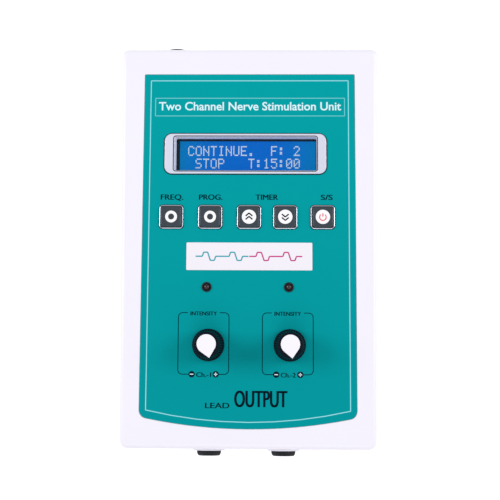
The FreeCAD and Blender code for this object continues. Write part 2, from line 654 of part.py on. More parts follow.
def make_lcd_header():
    """The strip of pins under the display's board, with its plastic spacer."""
    length = LCD_PIN_COUNT * PIN_PITCH
    y = lcd_pin_places()[0][1]
    strip = box(length, HEADER_THICKNESS, LCD_BOARD_BOTTOM - HEADER_THICKNESS, LCD_BOARD_BOTTOM,
                LCD_CENTRE[0], y)
    pins = [box(PIN_WIDTH, PIN_WIDTH, LCD_BOARD_BOTTOM - PIN_LENGTH, LCD_BOARD_TOP + PIN_TIP, x, y)
            for x, y in lcd_pin_places()]
    return on_panel(joined(strip, pins))


def make_board_screws():
    """The display's and the main board's screws, all the same size."""
    screws = []
    places = [(x, y, LCD_BOARD_BOTTOM) for x, y in lcd_screw_places()]
    places += [(x, y, MAIN_BOARD_BOTTOM) for x, y in board_screw_places()]
    for x, y, seat in places:
        head = rod(BOARD_SCREW_HEAD_RADIUS, seat - BOARD_SCREW_HEAD, seat)
        shank = rod(BOARD_SCREW_RADIUS, seat, seat + BOARD_THICKNESS + BOARD_SCREW_GRIP)
        screw = head.fuse(shank).cut(cross_recess(seat - BOARD_SCREW_HEAD))
        screw.translate(vector(x, y, 0))
        screws.append(on_panel(screw))
    return group(screws)


# ---- keys -------------------------------------------------------------------------------
def make_key_frames():
    frames = []
    for x in KEY_X.values():
        rim = slab(FRAME_OUTER, FRAME_OUTER, FRAME_CORNER_RADIUS, OVERLAY_FACE, OVERLAY_FACE + FRAME_RIM,
                   x, KEY_ROW_Y)
        skirt_size = frame_skirt_size()
        skirt = slab(skirt_size, skirt_size, KEY_CORNER_RADIUS, OVERLAY_FACE - FRAME_SKIRT_DEPTH,
                     OVERLAY_FACE + FRAME_RIM / 2, x, KEY_ROW_Y)
        inner = KEY_SIZE + 2 * KEY_GAP
        opening = slab(inner, inner, KEY_CORNER_RADIUS, 2 * INSIDE, TOP_WALL, x, KEY_ROW_Y)
        frames.append(on_panel(joined(rim, [skirt]).cut(opening)))
    return group(frames)


def make_keycap(x):
    flange_top = INSIDE - KEY_REST_GAP
    flange_bottom = flange_top - KEY_FLANGE_THICKNESS
    cap = slab(KEY_SIZE, KEY_SIZE, KEY_CORNER_RADIUS, flange_bottom, KEY_TOP, x, KEY_ROW_Y)
    top_face = max(cap.Faces, key=lambda face: face.CenterOfMass.z)
    cap = cap.makeFillet(KEY_EDGE, top_face.Edges)
    flange_size = KEY_SIZE + 2 * KEY_FLANGE
    flange = slab(flange_size, flange_size, KEY_CORNER_RADIUS, flange_bottom, flange_top, x, KEY_ROW_Y)
    hole = STEM_WIDTH + 2 * STEM_FIT
    socket = box(hole, hole, flange_bottom - CUT_PAST, flange_bottom + KEY_SOCKET_DEPTH, x, KEY_ROW_Y)
    return on_panel(joined(cap, [flange]).cut(socket))


def make_switch_plunger(x):
    body_top = MAIN_BOARD_TOP + SWITCH_BODY_HEIGHT
    socket_end = INSIDE - KEY_REST_GAP - KEY_FLANGE_THICKNESS + KEY_SOCKET_DEPTH
    disc_bottom = body_top - SWITCH_WELL_DEPTH + 2 * KEY_TRAVEL
    disc = rod(PLUNGER_RADIUS, disc_bottom, body_top + PLUNGER_RISE, x, KEY_ROW_Y)
    stem = box(STEM_WIDTH, STEM_WIDTH, body_top, socket_end, x, KEY_ROW_Y)
    return on_panel(joined(disc, [stem]))


def make_switch_bodies():
    bodies = []
    top = MAIN_BOARD_TOP + SWITCH_BODY_HEIGHT
    for x in KEY_X.values():
        body = slab(SWITCH_SIZE, SWITCH_SIZE, SWITCH_CORNER_RADIUS, MAIN_BOARD_TOP, top, x, KEY_ROW_Y)
        well = rod(SWITCH_WELL_RADIUS, top - SWITCH_WELL_DEPTH, top + CUT_PAST, x, KEY_ROW_Y)
        bodies.append(on_panel(body.cut(well)))
    return group(bodies)


# ---- indicator lamps --------------------------------------------------------------------
def make_lamp_holders():
    holders = []
    for x, y in LAMP_PLACES:
        rim = rod(LAMP_HOLDER_RADIUS, OVERLAY_FACE, OVERLAY_FACE + LAMP_HOLDER_RIM, x, y)
        sleeve = rod(LAMP_SLEEVE_RADIUS, LAMP_SLEEVE_END, OVERLAY_FACE, x, y)
        bore = rod(LAMP_RADIUS + LAMP_FIT, LAMP_SLEEVE_END - CUT_PAST, CUT_PAST, x, y)
        holders.append(on_panel(joined(rim, [sleeve]).cut(bore)))
    return group(holders)


def make_lamp(x, y):
    rim = rod(LAMP_RIM_RADIUS, LAMP_SLEEVE_END - LAMP_RIM, LAMP_SLEEVE_END, x, y)
    column = rod(LAMP_RADIUS, LAMP_SLEEVE_END, 0, x, y)
    dome = Part.makeSphere(LAMP_RADIUS, vector(x, y, 0), Z_AXIS, 0, 90, 360)
    return on_panel(joined(rim, [column, dome]))


def lead_places():
    return [(x + side * LEAD_SPACING / 2, y) for x, y in LAMP_PLACES for side in (-1, 1)]


def make_lamp_leads():
    top = LAMP_SLEEVE_END - LAMP_RIM
    return group([on_panel(box(LEAD_WIDTH, LEAD_WIDTH, MAIN_BOARD_BOTTOM - LEAD_TAIL, top, x, y))
                  for x, y in lead_places()])


# ---- intensity controls -----------------------------------------------------------------
def lug_places():
    return [(x + offset, y + LUG_OFFSET) for x, y in KNOB_PLACES for offset in LUG_PLACES]


def make_potentiometer(x, y):
    body = rod(POT_RADIUS, INSIDE - POT_THICKNESS, INSIDE, x, y)
    bushing = rod(BUSHING_RADIUS, INSIDE, BUSHING_TOP, x, y)
    lugs = [box(LUG_WIDTH, LUG_THICKNESS, MAIN_BOARD_BOTTOM - LEAD_TAIL, INSIDE - POT_THICKNESS / 2,
                x + offset, y + LUG_OFFSET) for offset in LUG_PLACES]
    bore = rod(SHAFT_RADIUS + SHAFT_FIT, SHAFT_FOOT - SHAFT_END_GAP, BUSHING_TOP + CUT_PAST, x, y)
    return on_panel(joined(body, [bushing] + lugs).cut(bore))


def make_potentiometer_nuts():
    nuts = []
    for x, y in KNOB_PLACES:
        nut = hexagon(NUT_FLATS, -OVERLAY_RECESS, NUT_THICKNESS - OVERLAY_RECESS, x, y)
        nuts.append(on_panel(nut.cut(rod(BUSHING_RADIUS, INSIDE, BUSHING_TOP, x, y))))
    return group(nuts)


def make_knob_shaft(x, y):
    return on_panel(rod(SHAFT_RADIUS, SHAFT_FOOT, SHAFT_TOP, x, y))


def rib_groove(angle):
    """One groove between two ribs, following the knob's taper."""
    sections = []
    for radius, height in ((KNOB_WAIST_RADIUS, KNOB_BOTTOM + KNOB_FLANGE), (KNOB_TOP_RADIUS, KNOB_TOP)):
        root = radius - RIB_DEPTH
        outside = radius + RIB_DEPTH
        corners = ((root, 0), (outside, 2 * RIB_HALF_WIDTH), (outside, -2 * RIB_HALF_WIDTH), (root, 0))
        sections.append(Part.makePolygon([vector(x, y, height) for x, y in corners]))
    groove = Part.makeLoft(sections, True, True)
    groove.rotate(ORIGIN, Z_AXIS, angle)
    return groove


def pointer_outline(low, high):
    """The teardrop inlay: a disc with two tangents that meet at the tip, towards -Y."""
    touch = math.asin(CAP_RADIUS / CAP_TIP)
    touch_x, touch_y = CAP_RADIUS * math.cos(touch), CAP_OFFSET - CAP_RADIUS * math.sin(touch)
    left, right = vector(-touch_x, touch_y, low), vector(touch_x, touch_y, low)
    tip = vector(0, CAP_OFFSET - CAP_TIP, low)
    edges = [Part.Arc(left, vector(0, CAP_OFFSET + CAP_RADIUS, low), right).toShape(),
             Part.makeLine(right, tip), Part.makeLine(tip, left)]
    return Part.Face(Part.Wire(edges)).extrude(vector(0, 0, high - low))


def turned_to_place(shape, place, points):
    """Turn a knob's piece so that its pointer stands right of straight at the user."""
    placed = shape.copy()
    placed.rotate(ORIGIN, Z_AXIS, points)
    placed.translate(vector(*place, 0))
    return on_panel(placed)


def knob_form():
    waist = KNOB_BOTTOM + KNOB_FLANGE
    body = joined(rod(KNOB_BASE_RADIUS, KNOB_BOTTOM, waist),
                  [cone(KNOB_WAIST_RADIUS, KNOB_TOP_RADIUS, waist, KNOB_TOP)])
    top_face = max(body.Faces, key=lambda face: face.CenterOfMass.z)
    body = body.makeFillet(KNOB_EDGE, top_face.Edges)
    body = body.cut([rib_groove(k * 360 / RIB_COUNT) for k in range(RIB_COUNT)])
    hollow = rod(KNOB_HOLLOW_RADIUS, KNOB_BOTTOM - CUT_PAST, KNOB_HOLLOW_TOP)
    bore = rod(SHAFT_RADIUS, KNOB_BOTTOM - CUT_PAST, SHAFT_TOP)
    pocket = pointer_outline(KNOB_TOP - CAP_INLAY, KNOB_TOP + CUT_PAST)
    return body.cut([hollow, bore, pocket])


def pointer_form():
    cap = pointer_outline(KNOB_TOP - CAP_INLAY, KNOB_TOP + CAP_PROUD)
    top_face = max(cap.Faces, key=lambda face: face.CenterOfMass.z)
    return cap.makeFillet(CAP_EDGE, top_face.Edges)


# ---- lead sockets -----------------------------------------------------------------------
def make_output_socket(x):
    bushing = rod(SOCKET_BUSHING_RADIUS, -WALL, SOCKET_BOSS + SOCKET_NOSE)
    body = slab(*SOCKET_BODY, SOCKET_BODY_CORNER_RADIUS, -WALL - SOCKET_BODY_LENGTH, -WALL)
    mouth = SOCKET_BOSS + SOCKET_NOSE
    bore = rod(SOCKET_BORE_RADIUS, mouth - SOCKET_BORE_DEPTH, mouth + CUT_PAST)
    return on_front(joined(body, [bushing]).cut(bore), x, SOCKET_HEIGHT)


def make_socket_ring_nuts():
    shoulder, nose = SOCKET_BOSS + RING_NUT_STRAIGHT, SOCKET_BOSS + SOCKET_NOSE
    straight = rod(RING_NUT_RADIUS, SOCKET_BOSS, shoulder)
    taper = cone(RING_NUT_RADIUS, RING_NUT_NOSE_RADIUS, shoulder, nose)
    nut = joined(straight, [taper]).cut(rod(SOCKET_BUSHING_RADIUS, 0, nose + CUT_PAST))
    return group([on_front(nut, x, SOCKET_HEIGHT) for x in SOCKET_X])


# ---- supply inlet -----------------------------------------------------------------------
def make_inlet_body():
    face = INLET_BOSS + INLET_FLANGE
    flange = rod(INLET_FLANGE_RADIUS, INLET_BOSS, face)
    outer_rim = [edge for edge in flange.Edges
                 if len(edge.Vertexes) == 1 and edge.CenterOfMass.z > face - TOLERANCE]
    flange = flange.makeChamfer(INLET_EDGE, outer_rim)
    body = rod(INLET_BODY_RADIUS, -WALL - INLET_BODY_LENGTH, INLET_BOSS)
    mouth = rod(INLET_MOUTH_RADIUS, face - INLET_MOUTH_DEPTH, face + CUT_PAST)
    return on_rear(joined(flange, [body]).cut(mouth), INLET_X, INLET_HEIGHT)


def make_inlet_pin():
    face = INLET_BOSS + INLET_FLANGE
    pin = rod(INLET_PIN_RADIUS, face - INLET_MOUTH_DEPTH, face - INLET_PIN_SETBACK)
    return on_rear(pin, INLET_X, INLET_HEIGHT)


def make_inlet_nut():
    nut = hexagon(INLET_NUT_FLATS, -WALL - INLET_NUT, -WALL)
    bore = rod(INLET_BODY_RADIUS, -WALL - INLET_NUT - CUT_PAST, -WALL + CUT_PAST)
    return on_rear(nut.cut(bore), INLET_X, INLET_HEIGHT)


# ---- rocker switch ----------------------------------------------------------------------
def make_rocker_housing():
    bezel = slab(*ROCKER_BEZEL, ROCKER_BEZEL_RADIUS, 0, ROCKER_BEZEL_THICKNESS)
    top_face = max(bezel.Faces, key=lambda face: face.CenterOfMass.z)
    bezel = bezel.makeFillet(ROCKER_BEZEL_EDGE, top_face.Edges)
    body = box(*ROCKER_BODY, -ROCKER_BODY_DEPTH, 0)
    well = box(*ROCKER_WELL, -ROCKER_WELL_DEPTH, ROCKER_BEZEL_THICKNESS + CUT_PAST)
    housing = joined(body, [bezel]).cut([well, rocker_pivot_rod()])
    return on_rear(housing, ROCKER_X, ROCKER_HEIGHT)


def rocker_pivot_rod():
    start = vector(-ROCKER_BODY[0] / 2, 0, -ROCKER_PIVOT_SETBACK)
    return Part.makeCylinder(ROCKER_PIVOT_RADIUS, ROCKER_BODY[0], start, X_AXIS)


def make_rocker_button():
    """A shallow V-faced button, resting with its upper end pressed in."""
    width = ROCKER_WELL[0] - 2 * ROCKER_BUTTON_GAP
    half, end, middle, back = ROCKER_HALF_LENGTH, ROCKER_END_THICKNESS, ROCKER_MIDDLE_THICKNESS, ROCKER_BACK
    outline = ((-half, 0), (-half, end), (0, middle), (half, end), (half, 0), (half / 2, -back),
               (-half / 2, -back), (-half, 0))
    profile = Part.Face(Part.makePolygon([vector(-width / 2, y, z) for y, z in outline]))
    button = profile.extrude(vector(width, 0, 0))
    bore_start = vector(-width / 2 - CUT_PAST, 0, 0)
    bore_radius = ROCKER_PIVOT_RADIUS + ROCKER_PIVOT_FIT
    button = button.cut(Part.makeCylinder(bore_radius, width + 2 * CUT_PAST, bore_start, X_AXIS))
    button.rotate(ORIGIN, X_AXIS, ROCKER_TILT)
    button.translate(vector(0, 0, -ROCKER_PIVOT_SETBACK))
    return on_rear(button, ROCKER_X, ROCKER_HEIGHT)


def make_solder_terminals():
    """The lugs behind the lead sockets and the blades behind the rocker switch."""
    socket_back = -WALL - SOCKET_BODY_LENGTH
    width, thickness, length = SOCKET_LUG
    lugs = [on_front(box(width, thickness, socket_back - length, socket_back, offset, 0), x, SOCKET_HEIGHT)
            for x in SOCKET_X for offset in SOCKET_LUG_OFFSETS]
    width, thickness, length = BLADE_SIZE
    blades = [on_rear(box(width, thickness, -ROCKER_BODY_DEPTH - length, -ROCKER_BODY_DEPTH, 0, offset),
                      ROCKER_X, ROCKER_HEIGHT) for offset in BLADE_OFFSETS]
    return group(lugs + blades)


# ---- main board and what it carries -----------------------------------------------------
def make_main_board():
    depth = MAIN_BOARD_REAR - MAIN_BOARD_FRONT
    board = box(2 * MAIN_BOARD_HALF_WIDTH, depth, MAIN_BOARD_BOTTOM, MAIN_BOARD_TOP, 0,
                (MAIN_BOARD_REAR + MAIN_BOARD_FRONT) / 2)
    low, high = MAIN_BOARD_BOTTOM - CUT_PAST, MAIN_BOARD_TOP + CUT_PAST
    screw_hole = BOARD_SCREW_RADIUS + BOARD_SCREW_CLEARANCE
    cutters = [rod(screw_hole, low, high, x, y) for x, y in board_screw_places()]
    cutters += [rod(LEAD_HOLE_RADIUS, low, high, x, y) for x, y in lead_places()]
    cutters += [box(LUG_WIDTH + LUG_HOLE, LUG_THICKNESS + LUG_HOLE, low, high, x, y) for x, y in lug_places()]
    return on_panel(board.cut(cutters))


def under_board(width, depth, height, x, y, standoff=0.0):
    top = MAIN_BOARD_BOTTOM - standoff
    return box(width, depth, top - height, top, x, y)


def make_transformer_cores():
    cores = []
    for x, y in TRANSFORMER_PLACES:
        width, depth, height = CORE_SIZE
        block = under_board(width, depth, height, x, y)
        window_width = (width - 3 * CORE_LEG) / 2
        low = MAIN_BOARD_BOTTOM - height + CORE_LEG / 2
        windows = [box(window_width, depth + 2 * CUT_PAST, low, MAIN_BOARD_BOTTOM - CORE_LEG / 2,
                       x + side * (CORE_LEG + window_width) / 2, y) for side in (-1, 1)]
        cores.append(on_panel(block.cut(windows)))
    return group(cores)


def make_transformer_windings():
    """One winding in front of and behind each core, as its bobbin's cheeks show it."""
    windings = []
    width, depth, height = BOBBIN_SIZE
    cheek = (depth - CORE_SIZE[1]) / 2
    for x, y in TRANSFORMER_PLACES:
        middle = MAIN_BOARD_BOTTOM - CORE_SIZE[2] / 2
        for side in (-1, 1):
            face_y = y + side * (CORE_SIZE[1] / 2 + cheek / 2)
            windings.append(on_panel(box(width, cheek, middle - height / 2, middle + height / 2, x, face_y)))
    return group(windings)


def make_microcontroller():
    width, depth, height = CHIP_SIZE
    x, y = CHIP_PLACE
    chip = under_board(width, depth, height, x, y, CHIP_STANDOFF)
    first = x - (CHIP_LEG_COUNT - 1) / 2 * PIN_PITCH
    leg_offset = (depth + CHIP_LEG[1]) / 2
    leg_length = CHIP_STANDOFF + height / 2
    legs = [under_board(*CHIP_LEG, leg_length, first + k * PIN_PITCH, y + side * leg_offset)
            for k in range(CHIP_LEG_COUNT) for side in (-1, 1)]
    return on_panel(joined(chip, legs))


def make_regulator():
    x, y = REGULATOR_PLACE
    body = under_board(*REGULATOR_SIZE, x, y, REGULATOR_STANDOFF)
    tab_y = y + REGULATOR_SIZE[1] / 2 + REGULATOR_TAB[1] / 2
    tab = under_board(*REGULATOR_TAB, x, tab_y, REGULATOR_STANDOFF)
    leg_length = REGULATOR_STANDOFF + REGULATOR_LEG_ROOT
    legs = [under_board(*REGULATOR_LEG, leg_length, x + k * PIN_PITCH, y) for k in (-1, 0, 1)]
    return on_panel(joined(body, [tab] + legs))


def make_capacitors():
    return group([on_panel(rod(radius, MAIN_BOARD_BOTTOM - height, MAIN_BOARD_BOTTOM, x, y))
                  for x, y, radius, height in CAPACITORS])


def make_crystal():
    width, depth, height = CRYSTAL_SIZE
    bottom = MAIN_BOARD_BOTTOM - height
    return on_panel(slab(width, depth, depth * FULL_ROUND, bottom, MAIN_BOARD_BOTTOM, *CRYSTAL_PLACE))


def make_resistors():
    resistors = []
    z = MAIN_BOARD_BOTTOM - RESISTOR_RADIUS
    for k in range(RESISTOR_COUNT):
        x = RESISTOR_FIRST_X + k * RESISTOR_PITCH
        start = vector(x, RESISTOR_ROW_Y - RESISTOR_LENGTH / 2, z)
        resistors.append(on_panel(Part.makeCylinder(RESISTOR_RADIUS, RESISTOR_LENGTH, start, Y_AXIS)))
    return group(resistors)


def ribbon_run(low_y, high_y, low, high):
    """A straight stretch of the flat cable, as a block."""
    return box(RIBBON_WIDTH, high_y - low_y, low, high, LCD_CENTRE[0], (low_y + high_y) / 2)


def ribbon_bend(centre_y, side):
    """A quarter turn of the flat cable; side is where its upright run lies, +1 behind or -1 in front."""
    half = RIBBON_THICKNESS / 2
    start = vector(LCD_CENTRE[0] - RIBBON_WIDTH / 2, centre_y, RIBBON_DEPTH + RIBBON_BEND)
    outer = Part.makeCylinder(RIBBON_BEND + half, RIBBON_WIDTH, start, X_AXIS)
    inner = Part.makeCylinder(RIBBON_BEND - half, RIBBON_WIDTH, start, X_AXIS)
    reach = 2 * RIBBON_BEND
    quadrant_y = centre_y + side * reach / 2
    quadrant = box(2 * RIBBON_WIDTH, reach, start.z - reach, start.z, LCD_CENTRE[0], quadrant_y)
    return outer.cut(inner).common(quadrant)


def make_ribbon_cable():
    """A flat cable from the display's pins, under the display's board, to the main board."""
    half = RIBBON_THICKNESS / 2
    rear_y, bend_height = lcd_pin_places()[0][1], RIBBON_DEPTH + RIBBON_BEND
    middle = ribbon_run(RIBBON_END_Y + RIBBON_BEND, rear_y - RIBBON_BEND,
                        RIBBON_DEPTH - half, RIBBON_DEPTH + half)
    rear = ribbon_run(rear_y - half, rear_y + half, bend_height, LCD_BOARD_BOTTOM - PIN_LENGTH)
    plug_end = MAIN_BOARD_BOTTOM - RIBBON_PLUG[2]
    front = ribbon_run(RIBBON_END_Y - half, RIBBON_END_Y + half, bend_height, plug_end)
    bends = [ribbon_bend(rear_y - RIBBON_BEND, 1), ribbon_bend(RIBBON_END_Y + RIBBON_BEND, -1)]
    return on_panel(joined(middle, [rear, front] + bends))


def make_ribbon_plug():
    width, depth, height = RIBBON_PLUG
    return on_panel(under_board(width, depth, height, LCD_CENTRE[0], RIBBON_END_Y))


# ---- the whole unit ---------------------------------------------------------------------
def build_nodes():
    nodes = {
        "top_cover": make_top_cover(), "base_shell": make_base_shell(), "case_screws": make_case_screws(),
        "rubber_feet": make_feet(), "rating_label": make_rating_label(), "front_overlay": make_overlay(),
        "name_strip": make_name_strip(), "lcd_bezel": make_lcd_bezel(), "lcd_window": make_lcd_window(),
        "lcd_metal_frame": make_lcd_metal_frame(), "lcd_glass": make_lcd_glass(),
        "lcd_backlight": make_lcd_backlight(), "lcd_circuit_board": make_lcd_board(),
        "lcd_pin_header": make_lcd_header(), "board_screws": make_board_screws(),
        "key_frames": make_key_frames(), "key_switch_bodies": make_switch_bodies(),
        "lamp_holders": make_lamp_holders(),
        "lamp_leads": make_lamp_leads(), "potentiometer_nuts": make_potentiometer_nuts(),
        "socket_ring_nuts": make_socket_ring_nuts(), "solder_terminals": make_solder_terminals(),
        "inlet_body": make_inlet_body(), "inlet_pin": make_inlet_pin(), "inlet_nut": make_inlet_nut(),
        "rocker_housing": make_rocker_housing(), "rocker_button": make_rocker_button(),
        "rocker_pivot_pin": on_rear(rocker_pivot_rod(), ROCKER_X, ROCKER_HEIGHT),
        "main_circuit_board": make_main_board(),
        "transformer_cores": make_transformer_cores(), "transformer_windings": make_transformer_windings(),
        "microcontroller": make_microcontroller(), "voltage_regulator": make_regulator(),
        "electrolytic_capacitors": make_capacitors(), "quartz_crystal": make_crystal(),
        "resistors": make_resistors(), "lcd_ribbon_cable": make_ribbon_cable(),
        "ribbon_plug": make_ribbon_plug(),
    }
    for name, x in KEY_X.items():
        nodes[name + "_keycap"] = make_keycap(x)
        nodes[name + "_plunger"] = make_switch_plunger(x)
    knob, pointer = knob_form(), pointer_form()
    for channel, (place, points) in enumerate(zip(KNOB_PLACES, KNOB_POINTS), start=1):
        nodes[f"knob_body_{channel}"] = turned_to_place(knob, place, points)
        nodes[f"knob_pointer_{channel}"] = turned_to_place(pointer, place, points)
        nodes[f"knob_shaft_{channel}"] = make_knob_shaft(*place)
        nodes[f"potentiometer_{channel}"] = make_potentiometer(*place)
        nodes[f"channel_lamp_{channel}"] = make_lamp(*LAMP_PLACES[channel - 1])
        nodes[f"output_socket_{channel}"] = make_output_socket(SOCKET_X[channel - 1])
    return nodes


def export(nodes):
    os.makedirs("parts", exist_ok=True)
    for name, shape in nodes.items():
        placed = shape.copy()
        placed.translate(ORIGIN_SHIFT)
        placed.exportStep(f"parts/{name}.step")
        print(f"{name}: {len(placed.Solids)} solid(s), {placed.Volume:.1f} mm3, valid {placed.isValid()}")


export(build_nodes())
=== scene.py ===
"""Looks of a desk-top two-channel nerve stimulator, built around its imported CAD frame.

The shells, sockets, boards and switch bodies keep their CAD shapes and get their finishes here.
Keycaps, key frames, knobs, pointers, lamps, ring nuts, the display bezel and the rocker are
modelled again with the detail of the real pieces, and the panel's printing, the display's
characters and the marks on the keys are added.

Shapes are drawn in millimetres, in a frame of their own, and a placing matrix puts each one
into the row's frame, in metres. The panel frame has x to the right, y towards the back of the
sloping top and z out of the case's outer face.
"""
import json
import logging
import math
from dataclasses import dataclass, field, replace
from enum import Enum

import bmesh
import bpy
from mathutils import Matrix, Vector

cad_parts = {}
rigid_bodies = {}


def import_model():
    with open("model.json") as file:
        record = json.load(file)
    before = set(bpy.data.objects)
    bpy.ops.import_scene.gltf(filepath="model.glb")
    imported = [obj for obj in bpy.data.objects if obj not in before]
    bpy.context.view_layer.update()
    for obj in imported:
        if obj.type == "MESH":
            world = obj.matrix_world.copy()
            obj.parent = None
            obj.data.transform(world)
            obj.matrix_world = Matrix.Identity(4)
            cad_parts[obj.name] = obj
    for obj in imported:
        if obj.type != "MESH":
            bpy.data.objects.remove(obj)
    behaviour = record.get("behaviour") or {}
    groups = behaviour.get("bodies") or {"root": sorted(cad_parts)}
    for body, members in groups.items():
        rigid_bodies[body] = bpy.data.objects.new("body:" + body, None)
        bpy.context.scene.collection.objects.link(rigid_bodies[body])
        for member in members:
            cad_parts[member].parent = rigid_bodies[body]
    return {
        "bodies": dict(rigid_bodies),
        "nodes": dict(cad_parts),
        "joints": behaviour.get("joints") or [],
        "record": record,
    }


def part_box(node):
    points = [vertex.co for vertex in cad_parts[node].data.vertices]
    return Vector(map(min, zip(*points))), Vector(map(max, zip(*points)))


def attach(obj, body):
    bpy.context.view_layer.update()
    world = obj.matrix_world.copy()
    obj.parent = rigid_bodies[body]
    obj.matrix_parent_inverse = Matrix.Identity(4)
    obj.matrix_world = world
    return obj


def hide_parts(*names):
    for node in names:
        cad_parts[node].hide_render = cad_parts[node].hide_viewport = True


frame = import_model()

LOG = logging.getLogger("nerve_stimulator")
MM = 0.001
FULL_TURN = 2 * math.pi
UP = Vector((0, 0, 1))
CASE = "case"

Colour = tuple[float, float, float]
Point = tuple[float, float]
Step = tuple[float, float, float]


# ---- shader recipes ---------------------------------------------------------------------
FLAT, PLAIN, SOFT, FINE, RICH, DENSE = 0.0, 1.0, 2.0, 3.0, 4.0, 5.0     # finer layers in a noise
MIX_COLOURS = (6, 7)               # the Mix node's colour inputs
MIX_RESULT = 2                     # and its colour output


def tone(red: float, green: float, blue: float) -> Colour:
    """Turn a display colour into the linear colour that shaders use.

    Args:
        red: Display red, from 0 to 255.
        green: Display green, from 0 to 255.
        blue: Display blue, from 0 to 255.

    Returns:
        The linear colour, each channel from 0 to 1.
    """
    shares = (red / 255, green / 255, blue / 255)
    return tuple(c / 12.92 if c <= 0.04045 else ((c + 0.055) / 1.055) ** 2.4 for c in shares)


class Signal:
    """A value that changes over a surface, written with Python's operators."""

    def __init__(self, recipe: "Recipe", socket: bpy.types.NodeSocket) -> None:
        """Wrap one output socket of a recipe's node."""
        self.recipe = recipe
        self.socket = socket

    def math(self, operation: str, first: "Signal | float", second: "Signal | float") -> "Signal":
        """Add one Math node.

        Args:
            operation: The Math node's operation.
            first: Its first value.
            second: Its second value.

        Returns:
            The node's result.
        """
        return self.recipe.node("ShaderNodeMath", {"operation": operation}, {0: first, 1: second})

    def __add__(self, other: "Signal | float") -> "Signal":
        """Return the sum."""
        return self.math("ADD", self, other)

    def __radd__(self, other: float) -> "Signal":
        """Return the sum, the number first."""
        return self.math("ADD", other, self)

    def __sub__(self, other: "Signal | float") -> "Signal":
        """Return the difference."""
        return self.math("SUBTRACT", self, other)

    def __rsub__(self, other: float) -> "Signal":
        """Return the difference, the number first."""
        return self.math("SUBTRACT", other, self)

    def __mul__(self, other: "Signal | float") -> "Signal":
        """Return the product."""
        return self.math("MULTIPLY", self, other)

    def __rmul__(self, other: float) -> "Signal":
        """Return the product, the number first."""
        return self.math("MULTIPLY", other, self)

    def __truediv__(self, other: "Signal | float") -> "Signal":
        """Return the quotient."""
        return self.math("DIVIDE", self, other)

    def __mod__(self, other: float) -> "Signal":
        """Return the remainder, never negative."""
        return self.math("FLOORED_MODULO", self, other)

    def __gt__(self, other: "Signal | float") -> "Signal":
        """Return 1 where this is the larger, else 0."""
        return self.math("GREATER_THAN", self, other)

    def __abs__(self) -> "Signal":
        """Return the size without its sign."""
        return self.math("ABSOLUTE", self, 0.0)

    def clamped(self) -> "Signal":
        """Return the value held between 0 and 1."""
        return self.math("MINIMUM", self.math("MAXIMUM", self, 0.0), 1.0)


class Recipe:
    """One material's node tree around its Principled shader."""

    def __init__(self, name: str) -> None:
        """Start an empty material with only its shader and its output.

        Args:
            name: The material's name.
        """
        self.material = bpy.data.materials.new(name)
        self.material.use_nodes = True
        self.tree = self.material.node_tree
        self.tree.nodes.clear()
        self.shader = self.tree.nodes.new("ShaderNodeBsdfPrincipled")
        output = self.tree.nodes.new("ShaderNodeOutputMaterial")
        self.tree.links.new(self.shader.outputs[0], output.inputs["Surface"])

    def node(self, kind: str, settings: dict[str, object], values: dict[int | str, object],
             output: int | str = 0) -> Signal:
        """Add any node.

        Args:
            kind: The node's type.
            settings: Its own settings, set first.
            values: A number, a tuple or a Signal for each named or numbered input.
            output: Which output to hand back.

        Returns:
            The chosen output.
        """
        made = self.tree.nodes.new(kind)
        for name, setting in settings.items():
            setattr(made, name, setting)
        for name, value in values.items():
            if isinstance(value, Signal):
                self.tree.links.new(value.socket, made.inputs[name])
            else:
                made.inputs[name].default_value = value
        return Signal(self, made.outputs[output])

    def place(self, turn: float = 0.0, stretch: tuple[float, float, float] = (1, 1, 1)) -> Signal:
        """Return the surface point in millimetres.

        Args:
            turn: How far the pattern is turned about X, in degrees.
            stretch: How much tighter it is along each axis.

        Returns:
            The point, as a signal.
        """
        raw = self.node("ShaderNodeTexCoord", {}, {}, "Object")
        scale = tuple(share / MM for share in stretch)
        return self.node("ShaderNodeMapping", {}, {"Vector": raw, "Scale": scale,
                                                   "Rotation": (math.radians(turn), 0, 0)})

    def axis(self, point: Signal, which: str) -> Signal:
        """Return the X, Y or Z of a point."""
        return self.node("ShaderNodeSeparateXYZ", {}, {0: point}, which)

    def noise(self, size: float, detail: float = SOFT, point: Signal | None = None) -> Signal:
        """Return a soft random pattern.

        Args:
            size: The width of its blotches, in millimetres.
            detail: How many finer layers it has.
            point: Where to read it; the surface point if left out.

        Returns:
            A value around 0.5.
        """
        where = point or self.place()
        return self.node("ShaderNodeTexNoise", {}, {"Vector": where, "Scale": 1 / size, "Detail": detail})

    def mix(self, share: "Signal | float", first: Colour | Signal, second: Colour | Signal) -> Signal:
        """Return a colour between two.

        Args:
            share: How much of the second colour, from 0 to 1.
            first: The colour at 0.
            second: The colour at 1.

        Returns:
            The mixed colour.
        """
        values = {0: share}
        for slot, colour in zip(MIX_COLOURS, (first, second)):
            values[slot] = colour if isinstance(colour, Signal) else (*colour, 1)
        return self.node("ShaderNodeMix", {"data_type": "RGBA"}, values, MIX_RESULT)

    def set(self, **values: object) -> None:
        """Set or link the shader's sockets.

        Args:
            **values: The value or signal of each socket, with _ for each space in its name.
        """
        for name, value in values.items():
            socket = self.shader.inputs[name.replace("_", " ")]
            if isinstance(value, Signal):
                self.tree.links.new(value.socket, socket)
            else:
                socket.default_value = (*value, 1) if isinstance(value, tuple) and len(value) == 3 else value

    def drift(self, pattern: Signal, middle: float, swing: float) -> Signal:
        """Return a value that a pattern from 0 to 1 moves by a swing either way of its middle."""
        return pattern * (2 * swing) + (middle - swing)

    def emboss(self, height: Signal, depth: float) -> None:
        """Raise the surface by a pattern, depth millimetres from its 0 to its 1."""
        self.set(Normal=self.node("ShaderNodeBump", {}, {"Height": height, "Distance": depth * MM}))


